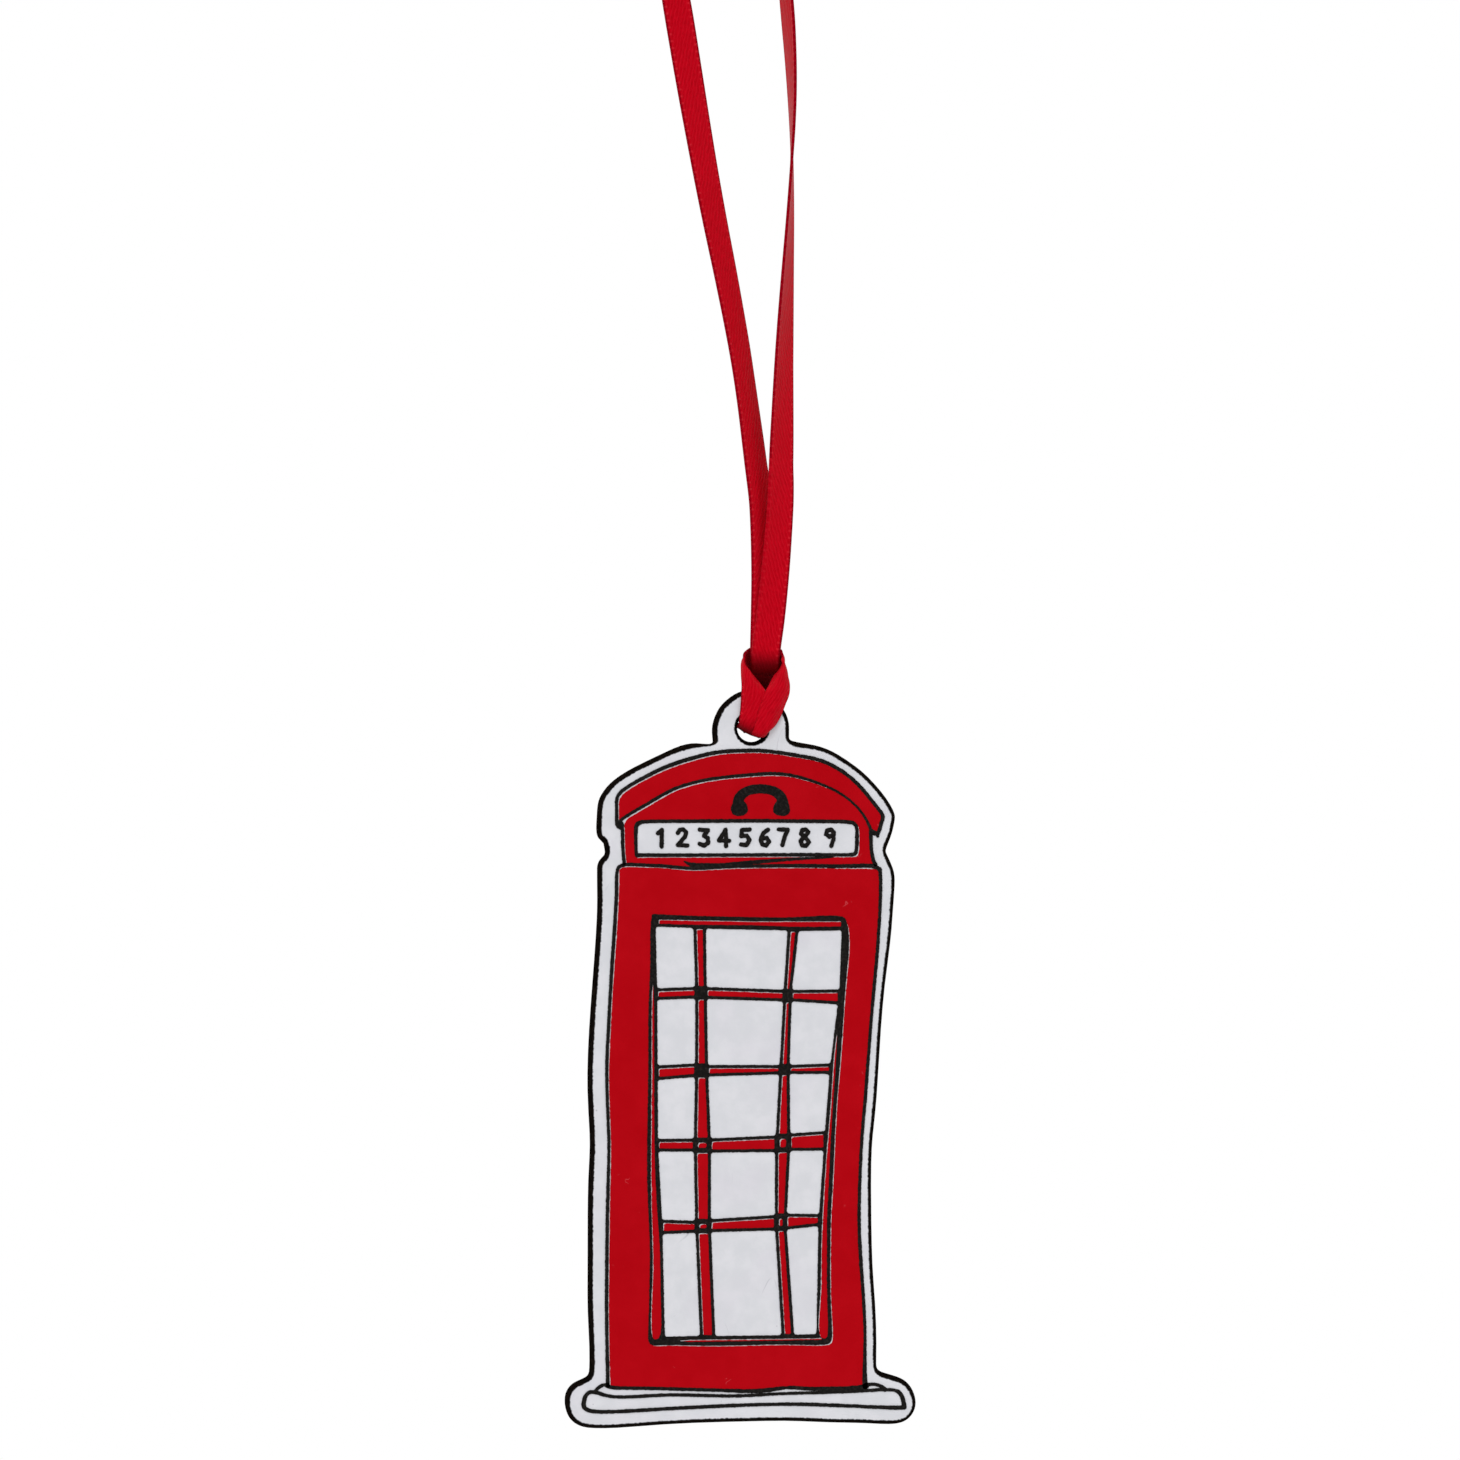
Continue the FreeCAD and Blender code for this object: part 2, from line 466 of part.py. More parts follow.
def pad(item, drawing, length, symmetric=False):
    solid = item.newObject("PartDesign::Pad", item.Label + "_pad")
    solid.Profile = drawing
    solid.setExpression("Length", length)
    if symmetric:
        solid.SideType = "Symmetric"
    item.Tip = solid
    return solid


def polygon(points):
    corners = [Vector(*point) for point in points]
    return [Part.LineSegment(start, end) for start, end in zip(corners, corners[1:] + corners[:1])]


def feature(label, shape, placement):
    """Drawn artwork and bent ribbon, whose outlines no primitive or padded sketch describes."""
    item = doc.addObject("Part::Feature", label)
    item.Label = label
    item.Shape = shape
    item.Placement = placement
    nodes.append(item)
    return item


def ink(label, faces, under, thickness):
    """A film of ink on the front, over the layers under it."""
    solids = [flat.extrude(Vector(0, 0, thickness)) for flat in faces]
    shape = solids[0] if len(solids) == 1 else Part.makeCompound(solids)
    front = Vector(size("hole_side"), -size("board_thickness") / 2 - under, -size("hole_drop"))
    return feature(label, shape, Placement(front, Rotation(Vector(1, 0, 0), 90)))


def make_board():
    item = body("board", HOLE)
    back_outline = inset(BOARD, -size("cut_margin"))
    back = sketch(item, "back", back_outline, offset="-Sizes.board_thickness / 2")
    front_outline = inset(BOARD, size("edge_taper") - size("cut_margin"))
    front = sketch(item, "front", front_outline, offset="Sizes.board_thickness / 2")
    loft = item.newObject("PartDesign::AdditiveLoft", "board_loft")
    loft.Profile = back
    loft.Sections = [front]
    loft.Ruled = True
    item.Tip = loft
    doc.recompute()
    solid_volume = loft.Shape.Volume
    hole = item.newObject("PartDesign::SubtractiveCone", "board_hole")
    hole.setExpression("Radius1", "Sizes.hole_front_radius")
    hole.setExpression("Radius2", "Sizes.hole_back_radius")
    hole.setExpression("Height", "Sizes.board_thickness")
    hole.setExpression("Placement.Base.y", "-Sizes.board_thickness / 2")
    hole.Placement.Rotation = Rotation(Vector(1, 0, 0), -90)
    item.Tip = hole
    doc.recompute()
    cut = solid_volume - hole.Shape.Volume
    wide, narrow = size("hole_front_radius"), size("hole_back_radius")
    expected = math.pi / 3 * size("board_thickness") * (wide ** 2 + wide * narrow + narrow ** 2)
    print("board %.0f mm3, hole %.2f mm3 of %.2f" % (hole.Shape.Volume, cut, expected))
    assert abs(cut - expected) < 0.01 * expected


def make_ground_coat():
    item = body("ground_coat", HOLE)
    outline = inset(BOARD, size("edge_taper") - size("cut_margin") + size("ground_inset"))
    hole = Part.Circle(Vector(), Vector(0, 0, 1), size("hole_front_radius") + size("ground_inset"))
    drawing = sketch(item, "outline", outline + [hole], offset="Sizes.board_thickness / 2")
    pad(item, drawing, "Sizes.ground_coat")


def bar_cells():
    """The red strips between the panes, as corner points: uprights and crossbars."""
    line = size("pane_line")
    cells = []
    for left_edge, right_edge in ((1, 2), (3, 4)):
        for tops, bottoms in zip(ROW_TOPS, ROW_BOTTOMS):
            top = (tops[left_edge] + tops[right_edge]) / 2 - 0.1
            bottom = (bottoms[left_edge] + bottoms[right_edge]) / 2 + 0.1
            cells.append([
                (edge_at(left_edge, top) + line, top), (edge_at(right_edge, top) - line, top),
                (edge_at(right_edge, bottom) - line, bottom), (edge_at(left_edge, bottom) + line, bottom),
            ])
    for bottoms, tops in zip(ROW_BOTTOMS, ROW_TOPS[1:]):
        for edge in (0, 2, 4):
            high = [bottoms[edge] - line, bottoms[edge + 1] - line]
            low = [tops[edge] + line, tops[edge + 1] + line]
            left = edge_at(edge, (high[0] + low[0]) / 2) + 0.1
            right = edge_at(edge + 1, (high[1] + low[1]) / 2) - 0.1
            cells.append([(left, high[0]), (right, high[1]), (right, low[1]), (left, low[0])])
    return cells


def crossing_cells():
    """The small red spots where the lower bars cross, as corner points."""
    line = size("crossing_line")
    cells = []
    for bottoms, tops in zip(ROW_BOTTOMS[2:], ROW_TOPS[3:]):
        for left_edge, right_edge in ((1, 2), (3, 4)):
            high = (bottoms[left_edge] + bottoms[right_edge]) / 2 - line
            low = (tops[left_edge] + tops[right_edge]) / 2 + line
            left = edge_at(left_edge, high) + line
            right = edge_at(right_edge, high) - line
            cells.append([(left, high), (right, high), (right, low), (left, low)])
    return cells


def pane_corners():
    """The window's white panes, clockwise from the top left corner."""
    panes = []
    for tops, bottoms in zip(ROW_TOPS, ROW_BOTTOMS):
        for edge in (0, 2, 4):
            panes.append([
                (edge_at(edge, tops[edge]), tops[edge]),
                (edge_at(edge + 1, tops[edge + 1]), tops[edge + 1]),
                (edge_at(edge + 1, bottoms[edge + 1]), bottoms[edge + 1]),
                (edge_at(edge, bottoms[edge]), bottoms[edge]),
            ])
    return panes


def window_cells():
    frame_strips = [closed_wire(points) for points in (LEFT_STILE, RIGHT_STILE)]
    frame_strips += [rounded_wire(points, 0.1) for points in (TOP_RAIL, BOTTOM_RAIL)]
    frame_strips += [rounded_wire(points, 0.3) for points in crossing_cells()]
    return frame_strips + [rounded_wire(points, 0.16) for points in bar_cells()]


def red_ink(label, faces):
    """A red field, moved right and down by the print's misregister."""
    shift = Vector(size("misprint"), -size("misprint"), 0)
    moved = [flat.translated(shift) for flat in faces]
    return ink(label, moved, size("ground_coat"), size("red_ink"))


def black_ink(label, faces):
    return ink(label, faces, size("ground_coat") + size("red_ink"), size("black_ink"))


def make_red_fields():
    red_ink("roof_red", [face(field(right_side(ROOF_LINE), left_side(ARCH_LINE)[::-1]))])
    fascia = field(
        right_side(ARCH_LINE[1:]), right_side(FASCIA_RIGHT),
        left_side(BODY_TOP[1:-1])[::-1], left_side(FASCIA_LEFT)[::-1], corner(FASCIA_CORNER),
    )
    red_ink("fascia_red", [face(fascia, closed_wire(SIGN_OUTSIDE))])
    booth = field(
        right_side(BODY_TOP[1:-1]), right_side(BODY_RIGHT),
        left_side(BODY_BOTTOM[1:-1])[::-1], left_side(BODY_LEFT[1:])[::-1], corner(BODY_CORNER),
    )
    red_ink("body_red", [face(booth, closed_wire(LATTICE))])
    red_ink("glazing_bars_red", [face(wire) for wire in window_cells()])


def make_black_lines():
    roof = [ROOF_LINE, ARCH_LINE, EAVE_LEFT, EAVE_RIGHT, FASCIA_LEFT, FASCIA_RIGHT]
    black_ink("roof_lines", joined([drawn_line(points) for points in roof]))
    booth = [BODY_TOP, BODY_LEFT, BODY_RIGHT, SCRIBBLE]
    black_ink("body_lines", joined([drawn_line(points) for points in booth]))
    base = [BODY_BOTTOM, PLINTH_TOP, PLINTH_BOTTOM, STEP_LEFT, STEP_RIGHT]
    black_ink("plinth_lines", joined([drawn_line(points) for points in base]))
    black_ink("sign_frame", [face(closed_wire(SIGN_OUTSIDE), closed_wire(SIGN_INSIDE))])
    panes = [rounded_wire(points, 0.32) for points in pane_corners()]
    black_ink("window_lattice", [face(closed_wire(LATTICE), *panes, *window_cells())])


def make_sign_digits():
    faces = []
    for digit, (across, up) in zip(DIGITS, DIGIT_PLACES):
        strokes = [stroke for path in digit for stroke in pen_path(path, DIGIT_PEN)]
        faces += [flat.translated(Vector(across, up, 0)) for flat in joined(strokes)]
    black_ink("sign_digits", faces)


def make_handset_emblem():
    cups = [Part.Face(closed_wire(points)) for points in HANDSET_CUPS]
    black_ink("handset_emblem", joined([drawn_line(HANDSET_GRIP)] + cups))


def make_loop_bight():
    """The ribbon over the peg: half a turn with two straight ends."""
    inner, outer, down = size("peg_radius"), size("peg_radius") + size("ribbon_fold"), -size("bight_leg")
    curves = [Part.ArcOfCircle(Part.Circle(Vector(), Vector(0, 0, 1), radius), 0, math.pi)
              for radius in (inner, outer)]
    for side in (-1, 1):
        corners = [Vector(side * inner, 0), Vector(side * inner, down),
                   Vector(side * outer, down), Vector(side * outer, 0)]
        curves += [Part.LineSegment(start, end) for start, end in zip(corners, corners[1:])]
    item = body("loop_bight", PEG)
    pad(item, sketch(item, "profile", curves), "Sizes.ribbon_width", symmetric=True)


def make_loop_knot():
    knot = doc.addObject("Part::Ellipsoid", "loop_knot")
    knot.Label = "loop_knot"
    knot.Angle1, knot.Angle2, knot.Angle3 = -90, 90, 360
    knot.setExpression("Radius1", "Sizes.knot_height / 2")
    knot.setExpression("Radius2", "Sizes.knot_width / 2")
    knot.setExpression("Radius3", "Sizes.knot_depth / 2")
    knot.setExpression("Placement.Base.z", "Sizes.peg_radius + Sizes.ribbon_fold + Sizes.knot_height * 0.42")
    nodes.append(knot)


def from_hole(points):
    """(across, depth, up) points from the hole's centre, in the row frame."""
    return [Vector(size("hole_side") + across, depth, up - size("hole_drop")) for across, depth, up in points]


def make_tube(label, route, diameter):
    """A tube along straight runs joined by tangent arcs, each as large as its runs allow."""
    points = from_hole(route)
    edges, radii = [], []
    end = points[0]
    for before, corner, after in zip(points, points[1:], points[2:]):
        first, second = before - corner, after - corner
        turn = math.pi - first.getAngle(second)
        reach = 0.45 * min(first.Length, second.Length)
        radius = reach / math.tan(turn / 2)
        start_arc = corner + first.normalize() * reach
        end_arc = corner + second.normalize() * reach
        bisector = (first + second).normalize()
        centre = corner + bisector * (radius / math.cos(turn / 2))
        edges.append(Part.LineSegment(end, start_arc).toShape())
        edges.append(Part.Arc(start_arc, centre - bisector * radius, end_arc).toShape())
        radii.append(radius)
        end = end_arc
    edges.append(Part.LineSegment(end, points[-1]).toShape())
    length = sum(edge.Length for edge in edges)
    along = (points[1] - points[0]).normalize()
    circle = Part.Wire([Part.Circle(points[0], along, diameter / 2).toShape()])
    tube = Part.Wire(edges).makePipeShell([circle], True, False)
    expected = math.pi * diameter ** 2 / 4 * length
    print("%s: length %.1f, radii %s, volume %.1f of %.1f"
          % (label, length, [round(radius) for radius in radii], tube.Volume, expected))
    assert abs(tube.Volume - expected) < 0.01 * expected
    feature(label, tube, Placement())


def make_strand(label, stations, width, thickness, broad):
    """A flat strand: rectangles square to the path, with their broad side along one direction."""
    points = from_hole(stations)
    sections = []
    for index, spot in enumerate(points):
        before, after = points[max(index - 1, 0)], points[min(index + 1, len(points) - 1)]
        along = (after - before).normalize()
        across = (broad - along * broad.dot(along)).normalize() * (width / 2)
        through = along.cross(across).normalize() * (thickness / 2)
        corners = [spot + across + through, spot + across - through,
                   spot - across - through, spot - across + through]
        sections.append(Part.makePolygon(corners + corners[:1]))
    feature(label, Part.makeLoft(sections, True, True), Placement())


def make_ribbon_loop():
    make_loop_bight()
    make_loop_knot()
    width, sideways = size("ribbon_width"), Vector(1, 0, 0)
    make_tube("leg_left", LEG_LEFT, width)
    make_tube("leg_right", LEG_RIGHT, width)
    make_strand("tail_left", TAIL_LEFT, width * 0.9, size("neck_fold"), sideways)
    make_strand("tail_right", TAIL_RIGHT, width * 0.9, size("neck_fold"), sideways)


def make_neck():
    for label, outline, offset in (
        ("neck_back_strand", NECK_BACK, "-Sizes.neck_fold"),
        ("neck_front_strand", NECK_FRONT, "Sizes.neck_gap"),
    ):
        item = body(label, HOLE)
        pad(item, sketch(item, "outline", polygon(outline), offset=offset), "Sizes.neck_fold")


def make_hitch():
    band = body("hitch_front_band", HOLE)
    outline = smooth(FRONT_BAND, closed=True)[0]
    front = "Sizes.board_thickness / 2 + Sizes.band_gap"
    pad(band, sketch(band, "outline", [outline], offset=front), "Sizes.band_fold")

    through = body("hitch_through", HOLE)
    circle = Part.Circle(Vector(), Vector(0, 0, 1), size("through_radius"))
    back = "-(Sizes.board_thickness / 2 + Sizes.band_gap)"
    drawing = sketch(through, "circle", [circle], offset=back)
    pad(through, drawing, "Sizes.board_thickness + 2 * Sizes.band_gap")

    make_strand("hitch_back_strands", BACK_STRANDS, 2.8, size("band_fold"), Vector(1, 0, 0))
    make_strand("hitch_collar", COLLAR, 1.4, size("neck_fold"), Vector(0, 0, 1))


make_board()
make_ground_coat()
make_red_fields()
make_black_lines()
make_sign_digits()
make_handset_emblem()
make_ribbon_loop()
make_neck()
make_hitch()
doc.recompute()

for item in doc.Objects:
    assert not {"Invalid", "Error"} & set(item.State), item.Label + " failed"
for node in nodes:
    assert not node.Shape.isNull() and node.Shape.isValid(), node.Label + " is not a sound shape"
    node.Shape.exportStep("parts/%s.step" % node.Label)
print("%d nodes written" % len(nodes))
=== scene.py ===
"""Looks of the telephone-box ornament: a printed fibreboard plate on a loop of red satin ribbon.

Pieces are built in metres, in the CAD's own frame, and the printed face looks along -Y. Places on the
ribbon and the hitch are (across, depth, up) from the centre of the hole in the plate's tab, with depth
positive towards the back, in millimetres unless a comment says metres.
"""

import json
import math

import bpy
import numpy as np
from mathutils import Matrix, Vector, geometry, noise


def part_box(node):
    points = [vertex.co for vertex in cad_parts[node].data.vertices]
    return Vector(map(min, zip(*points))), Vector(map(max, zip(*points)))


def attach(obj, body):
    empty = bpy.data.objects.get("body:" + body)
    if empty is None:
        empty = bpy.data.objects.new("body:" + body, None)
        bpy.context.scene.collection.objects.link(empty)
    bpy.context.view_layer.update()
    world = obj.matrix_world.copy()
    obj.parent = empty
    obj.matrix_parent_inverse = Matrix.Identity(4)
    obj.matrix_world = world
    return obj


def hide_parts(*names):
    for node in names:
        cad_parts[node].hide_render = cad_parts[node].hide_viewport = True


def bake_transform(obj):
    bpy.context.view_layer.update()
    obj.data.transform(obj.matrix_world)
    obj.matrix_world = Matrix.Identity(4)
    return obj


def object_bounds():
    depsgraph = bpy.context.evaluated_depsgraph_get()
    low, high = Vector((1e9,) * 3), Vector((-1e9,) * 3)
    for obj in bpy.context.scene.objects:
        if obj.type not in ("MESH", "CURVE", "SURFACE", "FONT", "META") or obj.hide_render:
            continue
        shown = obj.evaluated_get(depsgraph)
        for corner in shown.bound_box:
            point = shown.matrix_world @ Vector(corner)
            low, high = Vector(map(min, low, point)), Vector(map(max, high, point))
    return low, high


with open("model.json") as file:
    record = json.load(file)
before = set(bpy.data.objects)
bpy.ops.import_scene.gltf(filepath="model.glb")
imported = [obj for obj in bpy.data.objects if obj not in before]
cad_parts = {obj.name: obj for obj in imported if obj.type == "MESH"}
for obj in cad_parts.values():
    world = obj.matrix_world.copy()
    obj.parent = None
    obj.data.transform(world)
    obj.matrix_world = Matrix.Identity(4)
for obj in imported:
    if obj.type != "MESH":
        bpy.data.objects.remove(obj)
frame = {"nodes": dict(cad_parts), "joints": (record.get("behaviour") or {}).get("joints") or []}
cad_low, cad_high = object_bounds()
bpy.context.scene.view_settings.view_transform = "Standard"

MM = 0.001
JOINTS = {joint["name"]: joint for joint in frame["joints"]}
HOLE = Vector(JOINTS["plate_swing"]["pos_m"])
RIBBON_WIDTH = 3.0 * MM
RIBBON_THICKNESS = 0.26 * MM


# ---------------------------------------------------------------------------------------------------
# Camera, light and floor
# ---------------------------------------------------------------------------------------------------
FRAME_WIDTH = 0.16686       # what the picture spans, at the plate
CAMERA_DISTANCE = 2.0
CAMERA_AZIMUTH = -2.2       # degrees; the left side wall shows a little more than the right one
AIM = HOLE + Vector((-0.00247, 0.0, -0.00023))     # the middle of the picture


def make_camera():
    data = bpy.data.cameras.new("camera")
    data.sensor_width = 36.0
    data.lens = data.sensor_width * CAMERA_DISTANCE / FRAME_WIDTH
    data.clip_start, data.clip_end = 0.01, 20.0
    camera = bpy.data.objects.new("camera", data)
    turn = math.radians(CAMERA_AZIMUTH)
    back = Vector((math.sin(turn), -math.cos(turn), 0.0))
    camera.location = AIM + back * CAMERA_DISTANCE
    camera.rotation_euler = (-back).to_track_quat("-Z", "Y").to_euler()
    bpy.context.scene.collection.objects.link(camera)
    bpy.context.scene.camera = camera


def area_light(name, place, aim, size, power):
    data = bpy.data.lights.new(name, "AREA")
    data.shape = "DISK"
    data.size = size
    data.energy = power
    light = bpy.data.objects.new(name, data)
    light.location = place
    light.rotation_euler = (Vector(aim) - Vector(place)).to_track_quat("-Z", "Y").to_euler()
    bpy.context.scene.collection.objects.link(light)


def make_world():
    """Soft white all round, brighter from above; the camera sees plain white."""
    slope_end, dimmest, brightest = 0.8, 0.3, 0.9
    world = bpy.data.worlds.new("studio")
    bpy.context.scene.world = world
    world.use_nodes = True
    tree = world.node_tree
    tree.nodes.clear()
    seen = tree.nodes.new("ShaderNodeBackground")
    seen.inputs["Color"].default_value = (1, 1, 1, 1)
    seen.inputs["Strength"].default_value = 1.0
    lit = tree.nodes.new("ShaderNodeBackground")
    lit.inputs["Color"].default_value = (1, 1, 1, 1)
    direction = tree.nodes.new("ShaderNodeTexCoord")
    split = tree.nodes.new("ShaderNodeSeparateXYZ")
    brightness = tree.nodes.new("ShaderNodeMapRange")
    brightness.inputs["From Min"].default_value = -slope_end
    brightness.inputs["From Max"].default_value = slope_end
    brightness.inputs["To Min"].default_value = dimmest
    brightness.inputs["To Max"].default_value = brightest
    tree.links.new(direction.outputs["Generated"], split.inputs[0])
    tree.links.new(split.outputs["Z"], brightness.inputs["Value"])
    tree.links.new(brightness.outputs[0], lit.inputs["Strength"])
    ray = tree.nodes.new("ShaderNodeLightPath")
    mix = tree.nodes.new("ShaderNodeMixShader")
    out = tree.nodes.new("ShaderNodeOutputWorld")
    tree.links.new(ray.outputs["Is Camera Ray"], mix.inputs["Fac"])
    tree.links.new(lit.outputs[0], mix.inputs[1])
    tree.links.new(seen.outputs[0], mix.inputs[2])
    tree.links.new(mix.outputs[0], out.inputs["Surface"])


def make_floor():
    """A pale round floor well under the hanging plate, out of the main view."""
    drop, radius, corners = 0.06, 0.5, 96
    height = cad_low.z - drop
    angles = [2 * math.pi * step / corners for step in range(corners)]
    rim = [(radius * math.cos(angle), radius * math.sin(angle), height) for angle in angles]
    data = bpy.data.meshes.new("floor")
    data.from_pydata(rim, [], [list(range(corners))])
    floor = bpy.data.objects.new("floor", data)
    bpy.context.scene.collection.objects.link(floor)
    paint = bpy.data.materials.new("floor_paint")
    paint.use_nodes = True
    shader = paint.node_tree.nodes["Principled BSDF"]
    shader.inputs["Base Color"].default_value = (0.86, 0.86, 0.85, 1)
    shader.inputs["Roughness"].default_value = 0.7
    data.materials.append(paint)


make_camera()
make_world()
area_light("key", AIM + Vector((-0.45, -0.75, 0.7)), AIM, size=0.5, power=3.3)
area_light("fill", AIM + Vector((0.7, -0.6, 0.1)), AIM, size=0.6, power=0.8)
make_floor()


# ---------------------------------------------------------------------------------------------------
# Node helpers
# ---------------------------------------------------------------------------------------------------
class Nodes:
    """A small wrapper that makes a material's nodes and links in one line each."""

    def __init__(self, name):
        self.material = bpy.data.materials.new(name)
        self.material.use_nodes = True
        self.tree = self.material.node_tree
        self.shader = self.tree.nodes["Principled BSDF"]

    def value(self, socket, source):
        if isinstance(source, bpy.types.NodeSocket):
            self.tree.links.new(source, socket)
        elif source is not None:
            socket.default_value = source

    def add(self, kind, output=0, settings=None, **inputs):
        """One output of a new node. An input is given by its name, or as i0, i1 and so on by its number."""
        node = self.tree.nodes.new("ShaderNode" + kind)
        for key, setting in (settings or {}).items():
            setattr(node, key, setting)
        for key, source in inputs.items():
            numbered = key[0] == "i" and key[1:].isdigit()
            self.value(node.inputs[int(key[1:]) if numbered else key], source)
        return node.outputs[output]

    def math(self, operation, first, second=None, third=None):
        return self.add("Math", settings={"operation": operation}, i0=first, i1=second, i2=third)

    def mix(self, factor, first, second):
        node = self.tree.nodes.new("ShaderNodeMix")
        node.data_type = "RGBA"
        self.value(node.inputs["Factor"], factor)
        self.value(node.inputs["A"], first)
        self.value(node.inputs["B"], second)
        return node.outputs["Result"]

    def ramp(self, source, low, high, start=0.0, end=1.0):
        return self.add("MapRange", settings={"interpolation_type": "SMOOTHSTEP"}, Value=source,
                        **{"From Min": low, "From Max": high, "To Min": start, "To Max": end})

    def noise(self, vector, scale, detail=2.0, roughness=0.5):
        return self.add("TexNoise", Vector=vector, Scale=scale, Detail=detail, Roughness=roughness)

    def position(self):
        return self.add("TexCoord", output="Object")

    def bump(self, height, distance, strength=1.0):
        node = self.tree.nodes.new("ShaderNodeBump")
        node.inputs["Strength"].default_value = strength
        node.inputs["Distance"].default_value = distance
        self.value(node.inputs["Height"], height)
        return node.outputs["Normal"]

    def specks(self, vector, density, radius, share):
        """Sparse small spots: 1 on a spot. density is cells per metre, share the part of cells with one."""
        node = self.tree.nodes.new("ShaderNodeTexVoronoi")
        self.value(node.inputs["Vector"], vector)
        node.inputs["Scale"].default_value = density
        near = self.ramp(node.outputs["Distance"], radius * density, radius * density * 0.5)
        lot = self.add("SeparateColor", Color=node.outputs["Color"])
        chosen = self.math("GREATER_THAN", lot, 1.0 - share)
        return self.math("MULTIPLY", near, chosen)

    def finish(self, color, roughness, normal, specular):
        self.value(self.shader.inputs["Base Color"], color)
        self.value(self.shader.inputs["Roughness"], roughness)
        self.value(self.shader.inputs["Specular IOR Level"], specular)
        self.value(self.shader.inputs["Normal"], normal)
        return self.material


def rgb(red, green, blue):
    """A display colour, 0 to 255, as the linear colour that nodes take."""
    def linear(part):
        part /= 255
        return part / 12.92 if part <= 0.04045 else ((part + 0.055) / 1.055) ** 2.4
    return (linear(red), linear(green), linear(blue), 1.0)


# ---------------------------------------------------------------------------------------------------
# Materials
# ---------------------------------------------------------------------------------------------------
FLOAT_LEAN = 0.36       # how far across the satin's floats move for each step along
FLOAT_PITCH = 0.42      # mm across, from one float to the next
LOOP_PITCH = 0.8        # mm along, from one loop of the woven edge to the next


def make_satin():
    """Red satin: long slanting floats, a woven edge of small loops, painted sheen and glints on them, and
    painted shade on the side walls and where it is tucked away.

    The attribute weave holds (across, along) in millimetres, from the ribbon's middle line.
    """
    nodes = Nodes("red_satin")
    weave = nodes.add("Attribute", output="Vector", settings={"attribute_name": "weave"})
    across = nodes.add("SeparateXYZ", output="X", Vector=weave)
    along = nodes.add("SeparateXYZ", output="Y", Vector=weave)
    slant = nodes.math("ADD", across, nodes.math("MULTIPLY", along, FLOAT_LEAN))
    drift = nodes.math("MULTIPLY", nodes.noise(weave, 0.9), 0.5)
    phase = nodes.math("MULTIPLY", nodes.math("ADD", slant, drift), 2 * math.pi / FLOAT_PITCH)
    floats = nodes.math("MULTIPLY_ADD", nodes.math("SINE", phase), 0.5, 0.5)
    stretched = nodes.add("CombineXYZ", X=nodes.math("MULTIPLY", slant, 5.5),
                          Y=nodes.math("MULTIPLY", along, 1.3), Z=0.0)
    yarns = nodes.noise(stretched, 1.0, detail=3.0, roughness=0.6)
    height = nodes.math("ADD", nodes.math("MULTIPLY", floats, 0.45), nodes.math("MULTIPLY", yarns, 0.75))
    edge = nodes.math("ABSOLUTE", across)
    selvage = nodes.ramp(edge, 1.12, 1.25)
    fold_shade = nodes.add("Attribute", output="Fac", settings={"attribute_name": "fold_shade"})
    loops = nodes.math("SINE", nodes.math("MULTIPLY", along, 2 * math.pi / LOOP_PITCH))
    edging = nodes.add("Attribute", output="Fac", settings={"attribute_name": "edging"})
    loops = nodes.math("MULTIPLY", nodes.ramp(loops, 0.2, 0.95), nodes.math("MULTIPLY", selvage, edging))
    height = nodes.math("ADD", height, nodes.math("MULTIPLY", loops, 0.8))
    side = nodes.math("MULTIPLY", nodes.ramp(edge, 1.38, 1.48), edging)
    patches = nodes.noise(weave, 0.22, detail=2.0)
    color = nodes.mix(nodes.ramp(yarns, 0.3, 0.72), rgb(172, 0, 15), rgb(196, 2, 24))
    # Painted sheen: the float stripes are the weave, and their lighter red stands in for the satin's
    # highlights.
    color = nodes.mix(nodes.math("MULTIPLY", nodes.ramp(floats, 0.55, 1.0), 0.3), color, rgb(212, 22, 42))
    color = nodes.mix(nodes.math("MULTIPLY", nodes.ramp(patches, 0.4, 0.7), 0.25), color, rgb(172, 0, 14))
    # Painted glints: the edge loops are the weave, and their lighter red stands in for light caught on
    # them.
    color = nodes.mix(nodes.math("MULTIPLY", loops, 0.4), color, rgb(222, 44, 58))
    # Painted shade: side marks the side walls and outermost edges, which are darkened as if turned from the
    # light.
    color = nodes.mix(nodes.math("MULTIPLY", side, 0.6), color, rgb(104, 0, 16))
    # Painted shade where the ribbon is tucked away: in the hole, behind the tab and round behind the neck.
    color = nodes.mix(fold_shade, color, rgb(70, 0, 2))
    roughness = nodes.ramp(yarns, 0.2, 0.8, 0.36, 0.56)
    shine = nodes.ramp(side, 0.0, 1.0, 0.3, 0.0)
    material = nodes.finish(color, roughness, nodes.bump(height, 0.035 * MM), specular=shine)
    nodes.shader.inputs["Specular Tint"].default_value = (1.0, 0.05, 0.1, 1)
    nodes.shader.inputs["Sheen Weight"].default_value = 0.05
    nodes.shader.inputs["Sheen Roughness"].default_value = 0.4
    nodes.shader.inputs["Sheen Tint"].default_value = (1.0, 0.05, 0.1, 1)
    return material


